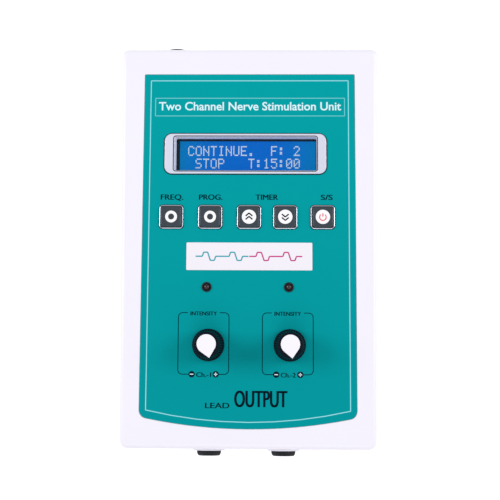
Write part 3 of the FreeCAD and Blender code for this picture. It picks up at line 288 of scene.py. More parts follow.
# ---- finishes ---------------------------------------------------------------------------
def shaded(colour: Colour, share: float) -> Colour:
    """Return a colour made lighter or darker by a share of itself."""
    return tuple(min(1.0, channel * (1 + share)) for channel in colour)


@dataclass(frozen=True)
class Finish:
    """A surface finish: its name, colour and how dull it is."""

    name: str
    colour: Colour
    roughness: float

    def material(self) -> bpy.types.Material:
        """Return the finish's material, made the first time that it is asked for.

        Returns:
            The Blender material.
        """
        made = bpy.data.materials.get(f"finish_{self.name}")
        if made is None:
            recipe = Recipe(f"finish_{self.name}")
            self.paint(recipe)
            made = recipe.material
        return made

    def paint(self, recipe: Recipe) -> None:
        """Set the recipe up for this finish."""
        recipe.set(Base_Color=self.colour, Roughness=self.roughness)


@dataclass(frozen=True)
class Plastic(Finish):
    """Moulded or printed plastic, or rubber, with a fine surface grain."""

    mottle: float = 0.03       # how far the colour drifts
    patch: float = 22.0        # size of that drift
    smudges: float = 3.0       # handling marks to a patch
    grain: float = 0.25        # size of the surface grain
    grain_depth: float = 0.006
    dulling: float = 0.08      # how far the roughness drifts
    coat: float = 0.0
    coat_roughness: float = 0.08
    shine: float = 0.5         # strength of its mirror part

    def paint(self, recipe: Recipe) -> None:
        """Colour drift, handling marks in the shine, and the mould's grain.

        Args:
            recipe: The material to set up.
        """
        broad = recipe.noise(self.patch, FINE)
        smudge = recipe.noise(self.patch / self.smudges, RICH)
        colour = recipe.mix(broad, shaded(self.colour, -self.mottle), shaded(self.colour, self.mottle))
        recipe.set(Base_Color=colour, Roughness=recipe.drift(smudge, self.roughness, self.dulling),
                   Coat_Weight=self.coat, Coat_Roughness=self.coat_roughness, Specular_IOR_Level=self.shine)
        recipe.emboss(recipe.noise(self.grain), self.grain_depth)


@dataclass(frozen=True)
class Film(Finish):
    """Printed polycarbonate film, with painted shade: its colour darkens towards the user's end."""

    # the colour at the user's end: the film's teal darkened as painted shade
    shaded_front_colour: Colour
    reach: float = 90.0        # from the middle to either end
    patch: float = 30.0        # size of the print's own drift
    mottle: float = 0.15
    smudge: float = 9.0        # size of a handling mark
    dulling: float = 0.08
    texture: float = 0.12
    texture_depth: float = 0.004
    shine: float = 0.03

    def paint(self, recipe: Recipe) -> None:
        """Painted shade from back to front, darker at the user's end, with a random drift, over the film's
        velvet texture.

        Args:
            recipe: The material to set up.
        """
        along = recipe.axis(recipe.place(), "Y")
        drift = recipe.drift(recipe.noise(self.patch, FINE), 0.5, self.mottle)
        share = (along / (2 * self.reach) + drift).clamped()
        recipe.set(Base_Color=recipe.mix(share, self.shaded_front_colour, self.colour),
                   Roughness=recipe.drift(recipe.noise(self.smudge, RICH), self.roughness, self.dulling),
                   Specular_IOR_Level=self.shine)
        recipe.emboss(recipe.noise(self.texture), self.texture_depth)


@dataclass(frozen=True)
class Metal(Finish):
    """Bare or plated metal, with faint lines along one axis."""

    lines: tuple[float, float, float] = (1, 1, 1)   # stretch of the pattern; under 1 draws it out
    line_size: float = 0.3
    line_depth: float = 0.003
    line_dulling: float = 0.1
    patch: float = 4.0         # size of a tarnished patch
    tarnish: float = 0.12
    patch_dulling: float = 0.05

    def paint(self, recipe: Recipe) -> None:
        """Drawn lines in the shine and the surface, with a little tarnish.

        Args:
            recipe: The material to set up.
        """
        drawn = recipe.noise(self.line_size, FINE, recipe.place(0.0, self.lines))
        dull = recipe.noise(self.patch, RICH)
        roughness = (recipe.drift(drawn, self.roughness, self.line_dulling)
                     + recipe.drift(dull, 0.0, self.patch_dulling))
        recipe.set(Base_Color=recipe.mix(dull, shaded(self.colour, -self.tarnish), self.colour), Metallic=1.0,
                   Roughness=roughness)
        recipe.emboss(drawn, self.line_depth)


@dataclass(frozen=True)
class ClearPlastic(Finish):
    """Clear or tinted lens plastic."""

    alpha: float
    coat: float = 0.0
    coat_roughness: float = 0.03
    shine: float = 0.5
    patch: float = 5.0         # size of a handling mark
    mottle: float = 0.05
    dulling: float = 0.04
    ripple: float = 6.0
    ripple_depth: float = 0.01

    def paint(self, recipe: Recipe) -> None:
        """See-through, with a few handling marks in its shine.

        Args:
            recipe: The material to set up.
        """
        marks = recipe.noise(self.patch, DENSE)
        recipe.set(Base_Color=recipe.mix(marks, shaded(self.colour, -self.mottle), self.colour),
                   Alpha=self.alpha, Roughness=recipe.drift(marks, self.roughness, self.dulling),
                   Coat_Weight=self.coat, Coat_Roughness=self.coat_roughness, Specular_IOR_Level=self.shine)
        recipe.emboss(recipe.noise(self.ripple, PLAIN), self.ripple_depth)


@dataclass(frozen=True)
class Backlit(Finish):
    """The lit display: bluer at its ends than in its middle, with its idle dots just showing."""

    end_colour: Colour
    centre_x: float
    half_width: float
    slope: float               # of the panel, in degrees
    dot: float
    seam: float = 0.86         # where the seam starts, as a share of a dot
    seam_colour: Colour = (0.0, 0.02, 0.12)
    seam_share: float = 0.08   # how strongly it shows
    patch: float = 14.0        # size of the light's own drift
    mottle: float = 0.1
    smudge: float = 3.0
    dulling: float = 0.03
    glow: float = 0.62
    body: float = 0.35         # how much of its colour is painted and not lit
    shine: float = 0.03

    def paint(self, recipe: Recipe) -> None:
        """Light falls off towards the ends, and dark seams part the idle dots.

        Args:
            recipe: The material to set up.
        """
        flat = recipe.place(-self.slope)
        across = abs(recipe.axis(flat, "X") - self.centre_x) / self.half_width
        fall = (across * across * across + recipe.drift(recipe.noise(self.patch), 0.0, self.mottle)).clamped()
        columns = (recipe.axis(flat, "X") % self.dot) / self.dot > self.seam
        rows = (recipe.axis(flat, "Y") % self.dot) / self.dot > self.seam
        seams = (columns + rows).clamped()
        lit = recipe.mix(fall, self.colour, self.end_colour)
        shown = recipe.mix(seams * self.seam_share, lit, self.seam_colour)
        painted = recipe.mix(self.body, (0.0, 0.0, 0.0), shown)
        recipe.set(Base_Color=painted, Emission_Color=shown, Emission_Strength=self.glow,
                   Roughness=recipe.drift(recipe.noise(self.smudge, FINE), self.roughness, self.dulling),
                   Specular_IOR_Level=self.shine)


@dataclass(frozen=True)
class CircuitBoard(Finish):
    """Green solder mask over copper tracks, with a woven ground."""

    track_colour: Colour
    pitch: float = 2.54
    track: float = 0.3         # half a track's width
    cell: float = 7.0          # size of the patches that tracks run through
    along_x_over: float = 0.52     # where those patches carry tracks along X
    along_y_under: float = 0.48    # and along Y
    weave: float = 1.2
    weave_shade: float = 0.15
    weave_rise: float = 0.2
    dulling: float = 0.075
    depth: float = 0.03

    def paint(self, recipe: Recipe) -> None:
        """Tracks wander on the board's grid, and stand a little proud under the mask.

        Args:
            recipe: The material to set up.
        """
        point = recipe.place()
        cells = recipe.noise(self.cell, FLAT)
        column = abs((recipe.axis(point, "X") % self.pitch) - self.pitch / 2)
        row = abs((recipe.axis(point, "Y") % self.pitch) - self.pitch / 2)
        along_x = (self.track - row > 0.0) * (cells > self.along_x_over)
        along_y = (self.track - column > 0.0) * (self.along_y_under - cells > 0.0)
        tracks = (along_x + along_y).clamped()
        weave = recipe.noise(self.weave)
        ground = recipe.mix(weave, shaded(self.colour, -self.weave_shade), self.colour)
        recipe.set(Base_Color=recipe.mix(tracks, ground, self.track_colour),
                   Roughness=recipe.drift(weave, self.roughness, self.dulling))
        recipe.emboss(tracks + weave * self.weave_rise, self.depth)


@dataclass(frozen=True)
class Banded(Finish):
    """A finish with stripes across one axis: ribbon cores, windings, laminations or colour bands."""

    stripe_colour: Colour
    axis: str
    pitch: float
    share: float               # how much of each pitch is stripe
    depth: float
    metallic: float = 0.0
    patch: float = 2.0
    dulling: float = 0.1

    def paint(self, recipe: Recipe) -> None:
        """Stripes in the colour, with a rounded ridge between each and the next.

        Args:
            recipe: The material to set up.
        """
        along = (recipe.axis(recipe.place(), self.axis) % self.pitch) / self.pitch
        stripe = self.share - along > 0.0
        ridge = 1 - abs(along * 2 - 1)
        dull = recipe.noise(self.patch, FINE)
        recipe.set(Base_Color=recipe.mix(stripe, self.colour, self.stripe_colour), Metallic=self.metallic,
                   Roughness=recipe.drift(dull, self.roughness, self.dulling))
        recipe.emboss(ridge, self.depth)


# ---- shapes, in millimetres -------------------------------------------------------------
Shape = bmesh.types.BMesh
CORNER_SEGMENTS = 6                # sides round a small corner
CREASE = math.radians(40)          # edges sharper than this are softened
CLOSE = 1e-4                       # points nearer than this are one
CUT_PAST = 1.0                     # how far a cutter reaches past what it cuts


@dataclass(frozen=True)
class Loop:
    """One rounded rectangle in a stack of them: its sizes, corner radius, height and shift."""

    width: float
    depth: float
    radius: float
    height: float
    x: float = 0.0
    y: float = 0.0


def faces_of(geometry: list) -> list[bmesh.types.BMFace]:
    """Return only the faces of an operator's result."""
    return [item for item in geometry if isinstance(item, bmesh.types.BMFace)]


def verts_of(geometry: list) -> list[bmesh.types.BMVert]:
    """Return only the vertices of an operator's result."""
    return [item for item in geometry if isinstance(item, bmesh.types.BMVert)]


def rounded_face(shape: Shape, loop: Loop, segments: int, height: float) -> bmesh.types.BMFace:
    """Add one flat rounded rectangle.

    Args:
        shape: The shape to add it to.
        loop: Its sizes and place.
        segments: How many sides round each corner.
        height: Where it lies, whatever the loop says.

    Returns:
        The new face.
    """
    known = set(shape.faces)
    place = Matrix.Translation((loop.x, loop.y, height)) @ Matrix.Diagonal((loop.width, loop.depth, 1, 1))
    corners = bmesh.ops.create_grid(shape, x_segments=1, y_segments=1, size=0.5, matrix=place)["verts"]
    bmesh.ops.bevel(shape, geom=corners, offset=loop.radius, offset_type="OFFSET", segments=segments,
                    profile=0.5, affect="VERTICES", material=-1)
    return next(face for face in shape.faces if face not in known)


LOOP_SPREAD = 100.0            # the loops are bridged this far apart, so that none lie in one plane


def stacked(loops: list[Loop], segments: int = CORNER_SEGMENTS, ring: bool = False) -> Shape:
    """Skin a stack of rounded rectangles, bridged well apart and then pressed to their heights.

    Args:
        loops: The rectangles, in the order in which the surface meets them.
        segments: How many sides round each corner.
        ring: True if the last rectangle joins the first; otherwise both ends are closed with a face.

    Returns:
        The closed shape.
    """
    shape = bmesh.new()
    rims, levels = [], []
    for number, loop in enumerate(loops):
        face = rounded_face(shape, loop, segments, number * LOOP_SPREAD)
        rims.append(list(face.edges))
        levels.append((list(face.verts), loop.height))
        if ring or 0 < number < len(loops) - 1:
            bmesh.ops.delete(shape, geom=[face], context="FACES_ONLY")
    pairs = list(zip(rims, rims[1:])) + ([(rims[-1], rims[0])] if ring else [])
    for first, second in pairs:
        bmesh.ops.bridge_loops(shape, edges=first + second)
    for verts, height in levels:
        for vert in verts:
            vert.co.z = height
    return shape


def turned(profile: list[Point], steps: int) -> Shape:
    """Turn an outline about the upright axis, as on a lathe.

    Args:
        profile: Radius and height of each point, in order.
        steps: How many sides go round.

    Returns:
        The turned shape, closed where the outline is closed or ends on the axis.
    """
    shape = bmesh.new()
    verts = [shape.verts.new((radius, 0, height)) for radius, height in profile]
    edges = [shape.edges.new(pair) for pair in zip(verts, verts[1:])]
    bmesh.ops.spin(shape, geom=verts + edges, cent=(0, 0, 0), axis=(0, 0, 1), angle=FULL_TURN, steps=steps,
                   use_merge=True, use_duplicate=False)
    bmesh.ops.remove_doubles(shape, verts=shape.verts, dist=CLOSE)
    return shape


def rounded_profile(corners: list[tuple[float, float, float]], steps: int = 4) -> list[Point]:
    """Round the corners of an outline.

    Args:
        corners: Radius, height and rounding of each corner, in order.
        steps: How many points replace a rounded corner, less one.

    Returns:
        The outline's points.
    """
    points = []
    for number, (radius, height, rounding) in enumerate(corners):
        here = Vector((radius, height))
        if rounding == 0 or number in (0, len(corners) - 1):
            points.append(tuple(here))
            continue
        before = (Vector(corners[number - 1][:2]) - here).normalized()
        after = (Vector(corners[number + 1][:2]) - here).normalized()
        start, end = here + before * rounding, here + after * rounding
        for k in range(steps + 1):
            t = k / steps
            points.append(tuple(start * (1 - t) ** 2 + here * 2 * t * (1 - t) + end * t ** 2))
    return points


def fluted(shape: Shape, count: int, depth: float, low: float, high: float, above_radius: float) -> Shape:
    """Press flutes into the side of a turned shape.

    Args:
        shape: The turned shape.
        count: How many flutes go round.
        depth: How deep each is.
        low: Where they start, above which they deepen.
        high: Where they end.
        above_radius: Only what lies further out than this is pressed.

    Returns:
        The same shape.
    """
    for vert in shape.verts:
        radius = math.hypot(vert.co.x, vert.co.y)
        if low < vert.co.z < high and radius > above_radius:
            angle = math.atan2(vert.co.y, vert.co.x)
            groove = (0.5 - 0.5 * math.cos(count * angle)) ** 2
            share = 1 - depth * groove / radius
            vert.co.x *= share
            vert.co.y *= share
    return shape


def softened(shape: Shape, offset: float, segments: int, low: float) -> Shape:
    """Round the sharp edges above a height.

    Args:
        shape: The shape to work on.
        offset: The width of the rounding.
        segments: How many faces it has.
        low: Edges under this height stay sharp.

    Returns:
        The same shape.
    """
    sharp = [edge for edge in shape.edges
             if len(edge.link_faces) == 2 and edge.calc_face_angle() > CREASE
             and min(vert.co.z for vert in edge.verts) > low]
    bmesh.ops.bevel(shape, geom=sharp, offset=offset, offset_type="OFFSET", segments=segments, profile=0.5,
                    affect="EDGES", clamp_overlap=True, material=-1)
    return shape


def moved(shape: Shape, matrix: Matrix) -> Shape:
    """Move every point of a shape, and hand it back."""
    bmesh.ops.transform(shape, matrix=matrix, verts=shape.verts)
    return shape


def shifted(shape: Shape, x: float, y: float, z: float = 0.0) -> Shape:
    """Shift a shape, and hand it back."""
    return moved(shape, Matrix.Translation((x, y, z)))


def together(shapes: list[Shape]) -> Shape:
    """Put several shapes into one, and free them.

    Args:
        shapes: The shapes, which are used up.

    Returns:
        One shape with all their faces.
    """
    whole = bmesh.new()
    for shape in shapes:
        carrier = bpy.data.meshes.new("carrier")
        bmesh.ops.recalc_face_normals(shape, faces=shape.faces)
        shape.to_mesh(carrier)
        shape.free()
        whole.from_mesh(carrier)
        bpy.data.meshes.remove(carrier)
    return whole


def carved(shape: Shape, cutter: Shape) -> Shape:
    """Cut one closed shape out of another.

    Args:
        shape: What is cut.
        cutter: What is taken away.

    Returns:
        What is left.
    """
    holders = []
    for part in (shape, cutter):
        bmesh.ops.recalc_face_normals(part, faces=part.faces)
        mesh = bpy.data.meshes.new("carving")
        part.to_mesh(mesh)
        part.free()
        holder = bpy.data.objects.new("carving", mesh)
        bpy.context.scene.collection.objects.link(holder)
        holders.append(holder)
    cut = holders[0].modifiers.new("cut", "BOOLEAN")
    cut.object, cut.operation, cut.solver = holders[1], "DIFFERENCE", "EXACT"
    depsgraph = bpy.context.evaluated_depsgraph_get()
    result = bpy.data.meshes.new_from_object(holders[0].evaluated_get(depsgraph))
    left = bmesh.new()
    left.from_mesh(result)
    for holder in holders:
        mesh = holder.data
        bpy.data.objects.remove(holder)
        bpy.data.meshes.remove(mesh)
    bpy.data.meshes.remove(result)
    return left


# ---- printing ---------------------------------------------------------------------------
INK_SUNK = 0.02                # how far the ink reaches into what carries it
INK_PROUD = 0.03               # how far it stands out
DISC_SIDES = 40
BEND_STEP = 15                 # degrees that each step of a bend takes
SEAM = 1e-3                    # a closed line's ends meet within this
LETTER_SIDES = 5               # to each curve of a letter
LETTER_SEAM = 1e-5             # a letter's faces meet within this, at its drawn size of 1


def ring_points(radius: float, count: int) -> list[Point]:
    """Return points spaced evenly round a circle."""
    return [(radius * math.cos(k * FULL_TURN / count), radius * math.sin(k * FULL_TURN / count))
            for k in range(count)]


def ink_disc(radius: float, centre: Point) -> Shape:
    """Return a printed disc.

    Args:
        radius: Its radius.
        centre: Its middle on the printed face.

    Returns:
        A thin closed disc.
    """
    shape = bmesh.new()
    bmesh.ops.create_cone(shape, cap_ends=True, segments=DISC_SIDES, radius1=radius, radius2=radius,
                          depth=INK_SUNK + INK_PROUD)
    return shifted(shape, *centre, (INK_PROUD - INK_SUNK) / 2)


def ink_stroke(points: list[Point], width: float, radius: float = 0.0, closed: bool = False) -> Shape:
    """Lay a printed line along a path, by extruding and spinning one flat section.

    Args:
        points: The path's corners.
        width: The line's width.
        radius: The radius of its corners, at least half the width.
        closed: True if the path returns to its start.

    Returns:
        The line as a closed shape, sunk a little into the surface at height 0.
    """
    radius = max(radius, width / 2)
    path = [Vector((*point, 0)) for point in points]
    if closed:
        middle = (path[0] + path[1]) / 2
        path = [middle, *path[1:], path[0], middle]
    shape = bmesh.new()
    thickness = INK_SUNK + INK_PROUD
    heading = (path[1] - path[0]).normalized()
    side = UP.cross(heading)
    section = Matrix((side * width, UP * thickness, heading)).transposed().to_4x4()
    section.translation = path[0] + UP * (INK_PROUD - INK_SUNK) / 2
    bmesh.ops.create_grid(shape, x_segments=1, y_segments=1, size=0.5, matrix=section)
    shape.faces.ensure_lookup_table()
    first = last = shape.faces[0]
    trimmed = 0.0
    for number in range(1, len(path)):
        run = path[number] - path[number - 1]
        heading, turn, trim = run.normalized(), 0.0, 0.0
        if number + 1 < len(path):
            onward = (path[number + 1] - path[number]).normalized()
            turn = math.atan2(heading.cross(onward).z, heading.dot(onward))
            trim = radius * math.tan(abs(turn) / 2)
        made = bmesh.ops.extrude_face_region(shape, geom=[last])["geom"]
        last = faces_of(made)[0]
        ahead = heading * (run.length - trimmed - trim)
        bmesh.ops.translate(shape, vec=ahead, verts=verts_of(made))
        if turn:
            corner = path[number] - heading * trim
            centre = corner + UP.cross(heading) * radius * math.copysign(1, turn)
            steps = max(2, round(abs(math.degrees(turn)) / BEND_STEP))
            spun = bmesh.ops.spin(shape, geom=[last, *last.edges, *last.verts], cent=centre, axis=UP,
                                  angle=turn, steps=steps, use_merge=False, use_duplicate=False)
            last = faces_of(spun["geom_last"])[0]
        trimmed = trim
    if closed:
        bmesh.ops.delete(shape, geom=[first, last], context="FACES_ONLY")
        bmesh.ops.remove_doubles(shape, verts=shape.verts, dist=SEAM)
    return shape


def painted_shade_frame(outer: Loop, inner: Loop) -> Shape:
    """Return a thin frame between two rounded rectangles, laid on a face like print, for the painted shade
    lines.
    """
    corners = ((outer, -INK_SUNK), (outer, INK_PROUD), (inner, INK_PROUD), (inner, -INK_SUNK))
    return stacked([replace(loop, height=loop.height + rise) for loop, rise in corners], ring=True)


def bold_lettering(words: str, cap_height: float, width: float, centre: Point, strike: float) -> Shape:
    """Set lettering that is struck twice, the second time a little to the right, to be bolder."""
    return together([lettering(words, cap_height, width - strike, (centre[0] + shift, centre[1]))
                     for shift in (-strike / 2, strike / 2)])


def lettering(words: str, cap_height: float, width: float, centre: Point, weight: float = 0.0) -> Shape:
    """Set plain lettering.

    Args:
        words: What it says.
        cap_height: The height of its capitals.
        width: Its whole length.
        centre: The middle of its length, at the middle of its capitals.
        weight: How much bolder it is than the plain face.

    Returns:
        The letters as one shape.
    """
    text = bpy.data.curves.new("lettering", "FONT")
    text.body, text.size, text.resolution_u = words, 1.0, LETTER_SIDES
    text.offset, text.extrude = weight, 0.5
    holder = bpy.data.objects.new("lettering", text)
    mesh = bpy.data.meshes.new_from_object(holder)
    shape = bmesh.new()
    shape.from_mesh(mesh)
    bpy.data.objects.remove(holder)
    bpy.data.curves.remove(text)
    bpy.data.meshes.remove(mesh)
    bmesh.ops.remove_doubles(shape, verts=shape.verts, dist=LETTER_SEAM)
    left, right = min(v.co.x for v in shape.verts), max(v.co.x for v in shape.verts)
    top = max(v.co.y for v in shape.verts)
    scale = Matrix.Diagonal((width / (right - left), cap_height / top, INK_SUNK + INK_PROUD, 1))
    start = Matrix.Translation((-(left + right) / 2, -top / 2, 0))
    place = Matrix.Translation((*centre, (INK_PROUD - INK_SUNK) / 2))
    return moved(shape, place @ scale @ start)


class KeySymbol(Enum):
    """What is printed on a key."""

    RING = "ring"
    UP = "up"
    DOWN = "down"
    POWER = "power"


# ---- the workshop: where shapes become pieces of the object ------------------------------
class Workshop:
    """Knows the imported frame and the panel's place, and puts finished pieces into the scene."""

    smooth_angle = math.radians(32)
    merge_within = 2e-4

    def __init__(self, packed: dict, knob_row: float) -> None:
        """Work out the panel's frame from the first knob's axis.

        Args:
            knob_row: The panel y of the knobs' axes.
        """
        self.nodes = packed["nodes"]
        self.joints = {joint["name"]: joint for joint in packed["joints"]}
        self.slots = {entry["node"]: entry["material_slot"] for entry in packed["record"]["subparts"]}
        turn = self.joints["intensity_1_turn"]
        normal = -Vector(turn["axis"]).normalized()
        across = Vector((1, 0, 0))
        along = normal.cross(across)
        foot = Vector(turn["pos_m"])
        self.panel = Matrix((across, along, normal)).transposed().to_4x4() @ Matrix.Scale(MM, 4)
        self.panel.translation = foot - across * foot.x - along * knob_row * MM

    def extent(self, node: str, place: Matrix | None = None) -> tuple[Vector, Vector]:
        """Return a CAD node's lowest and highest corners.

        Args:
            node: The node's name.
            place: The drawing frame to measure in; the panel's if left out.

        Returns:
            The lowest and the highest corner.
        """
        back = (place or self.panel).inverted()
        points = [back @ vert.co for vert in self.nodes[node].data.vertices]
        low = Vector([min(point[k] for point in points) for k in range(3)])
        return low, Vector([max(point[k] for point in points) for k in range(3)])

    def middle(self, node: str) -> Vector:
        """Return the middle of a CAD node in the panel frame."""
        low, high = self.extent(node)
        return (low + high) / 2

    def on_panel(self, x: float, y: float, z: float = 0.0, turn: float = 0.0) -> Matrix:
        """Return the placing matrix for a shape drawn about a panel point, turned by some degrees."""
        return self.panel @ Matrix.Translation((x, y, z)) @ Matrix.Rotation(math.radians(turn), 4, "Z")

    def dress(self, *nodes: str) -> None:
        """Give CAD nodes the finish of their material slot.

        Args:
            *nodes: The nodes' names.
        """
        for node in nodes:
            material = FINISHES[self.slots[node]].material()
            mesh = self.nodes[node].data
            mesh.materials.clear()
            mesh.materials.append(material)
            LOG.info("dressed %s in %s", node, material.name)

    def add(self, name: str, shape: Shape, place: Matrix, finish: Finish, slot: str, body: str = CASE,
            stands_for: tuple[str, ...] = ()) -> None:
        """Turn a shape into a piece of the object.

        Args:
            name: The piece's name.
            shape: Its shape, in millimetres; freed here.
            place: What carries the shape into the row's frame.
            finish: Its finish.
            slot: The record's material slot that the finish belongs to; not used.
            body: The body that it moves with.
            stands_for: The CAD nodes that it replaces.
        """
        bmesh.ops.remove_doubles(shape, verts=shape.verts, dist=self.merge_within)
        bmesh.ops.dissolve_degenerate(shape, edges=shape.edges, dist=CLOSE)
        bmesh.ops.recalc_face_normals(shape, faces=shape.faces)
        bmesh.ops.transform(shape, matrix=place, verts=shape.verts)
        mesh = bpy.data.meshes.new(name)
        shape.to_mesh(mesh)
        shape.free()
        mesh.shade_smooth()
        mesh.set_sharp_from_angle(angle=self.smooth_angle)
        mesh.materials.append(finish.material())
        piece = bpy.data.objects.new(name, mesh)
        bpy.context.scene.collection.objects.link(piece)
        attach(piece, body)
        if stands_for:
            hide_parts(*stands_for)
        LOG.info("made %s: %d faces, on %s", name, len(mesh.polygons), body)


# ---- the palette ------------------------------------------------------------------------
# dark ink of the printing, also used for the painted shade lines round the display bezel and the key frames
DARK_INK_AND_SHADE = Plastic("dark_ink_and_shade", tone(2, 28, 42), 0.45, mottle=0.06, grain_depth=0.003, shine=0.05)
PALE_INK = Plastic("pale_ink", tone(214, 240, 248), 0.42, mottle=0.02, grain_depth=0.003, shine=0.1)
LINE_INK = Plastic("line_ink", tone(150, 222, 232), 0.42, mottle=0.02, grain_depth=0.003, shine=0.1)
FRAME_INK = Plastic("frame_ink", tone(116, 204, 212), 0.42, mottle=0.02, grain_depth=0.003, shine=0.1)
WHITE_INK = Plastic("white_ink", tone(250, 249, 252), 0.35, mottle=0.01, grain_depth=0.002)
RED_INK = Plastic("red_ink", tone(226, 96, 110), 0.4, mottle=0.03, grain_depth=0.002)
TEAL_INK = Plastic("teal_ink", tone(40, 160, 175), 0.4, mottle=0.03, grain_depth=0.002)
ROSE_INK = Plastic("rose_ink", tone(196, 50, 130), 0.4, mottle=0.03, grain_depth=0.002)
DISPLAY_DOTS = Plastic("display_dots", tone(206, 224, 240), 0.3, mottle=0.02, grain_depth=0.001)

FINISHES: dict[str, Finish] = {finish.name: finish for finish in (
    Plastic("case_white", tone(243, 240, 251), 0.36, mottle=0.012, patch=45.0, grain=0.45,
            grain_depth=0.004, coat=0.12),
    # the second colour is the painted shade at the user's end of the film
    Film("overlay_teal", tone(1, 158, 163), 0.42, tone(1, 148, 155)),
    Plastic("strip_white", tone(243, 239, 248), 0.25, mottle=0.01, grain_depth=0.002, coat=0.3),
    Plastic("bezel_silver", tone(214, 216, 234), 0.28, mottle=0.03, grain=0.3, grain_depth=0.003,
            coat=0.4),
    ClearPlastic("clear_acrylic", (0.03, 0.12, 0.2), 0.07, alpha=0.05, shine=0.1),
    Plastic("frame_black", tone(12, 18, 34), 0.4, mottle=0.1, grain=0.12, grain_depth=0.006,
            shine=0.25),
    Backlit("display_blue", tone(7, 104, 208), 0.12, end_colour=tone(3, 128, 196), centre_x=-0.75,
            half_width=33.0, slope=4.28, dot=0.6),
    Plastic("light_guide", tone(226, 234, 246), 0.3, mottle=0.02, coat=0.2),
    CircuitBoard("board_green", tone(16, 92, 50), 0.355, tone(40, 132, 74)),
    Metal("pin_gold", tone(216, 180, 104), 0.28, lines=(1, 1, 0.1)),
    Metal("steel", tone(188, 190, 194), 0.34, lines=(1, 1, 0.2)),
    Metal("key_silver", tone(214, 218, 230), 0.2, tarnish=0.05, line_depth=0.001),
    Plastic("key_black", tone(48, 58, 68), 0.38, mottle=0.04, grain=0.18, grain_depth=0.006),
    Plastic("moulding_black", tone(20, 25, 30), 0.5, mottle=0.08, grain=0.3,
            grain_depth=0.012, shine=0.35),
    ClearPlastic("lamp_red", tone(40, 4, 20), 0.06, alpha=0.98, coat=1.0, shine=0.2),
    Metal("pot_metal", tone(176, 178, 180), 0.38, lines=(0.2, 1, 1)),
    Metal("shaft_aluminium", tone(200, 202, 206), 0.3, lines=(1, 1, 0.1)),
    Plastic("knob_black", tone(2, 18, 30), 0.46, mottle=0.1, grain=0.22, grain_depth=0.012,
            shine=0.1),
    Plastic("pointer_white", tone(248, 245, 254), 0.3, mottle=0.01, grain_depth=0.002, coat=0.2),
    Metal("tinned_brass", tone(204, 200, 186), 0.32),
    Banded("core_iron", tone(74, 76, 82), 0.5, tone(48, 49, 54), "X", 0.5, 0.4, 0.05, metallic=0.8),
    Banded("winding_yellow", tone(206, 176, 62), 0.4, tone(188, 156, 46), "Z", 1.4, 0.12, 0.06),
    Plastic("chip_black", tone(38, 38, 40), 0.55, mottle=0.06, grain=0.12, grain_depth=0.012),
    Banded("capacitor_blue", tone(24, 44, 96), 0.3, tone(170, 176, 190), "X", 9.0, 0.1, 0.0),
    Metal("crystal_can", tone(196, 198, 202), 0.24, lines=(0.2, 1, 1)),
    Banded("resistor_tan", tone(202, 168, 120), 0.4, tone(120, 52, 30), "Y", 1.5, 0.3, 0.0),
    Banded("ribbon_grey", tone(158, 160, 166), 0.45, tone(140, 142, 150), "X", 1.27, 0.14, 0.12),
    Plastic("foot_rubber", tone(44, 44, 46), 0.75, mottle=0.1, grain=0.35, grain_depth=0.03),
    Plastic("label_silver", tone(196, 198, 204), 0.35, mottle=0.03, grain=0.15, grain_depth=0.002),
)}


# ---- sub-assemblies ---------------------------------------------------------------------
@dataclass
class Housing:
    """The two shells of the case, with what holds them together and what they stand on."""

    shop: Workshop
    label_inset: float = 1.6       # of the printed border on the rating label
    label_rules: int = 5
    label_line: float = 0.25
    label_corner: float = 1.0

    def build(self) -> None:
        """Dress the shells and print the blank form on the rating label."""
        self.shop.dress("top_cover", "base_shell", "case_screws", "rubber_feet", "rating_label")
        low, high = self.shop.extent("rating_label", Matrix.Scale(MM, 4))
        half = Vector(((high.x - low.x) / 2 - self.label_inset, (high.y - low.y) / 2 - self.label_inset))
        corners = [(-half.x, -half.y), (half.x, -half.y), (half.x, half.y), (-half.x, half.y)]
        lines = [ink_stroke(corners, self.label_line, self.label_corner, closed=True)]
        pitch = 2 * half.y / (self.label_rules + 1)
        for number in range(1, self.label_rules + 1):
            y = number * pitch - half.y
            lines.append(ink_stroke([(-half.x, y), (half.x, y)], self.label_line))
        middle = (low + high) / 2 * MM
        facing_down = Matrix.Translation((middle.x, middle.y, low.z * MM)) @ Matrix.Rotation(math.pi, 4, "X")
        self.shop.add("rating_label_form", together(lines), facing_down @ Matrix.Scale(MM, 4), DARK_INK_AND_SHADE,
                      "moulding_black")


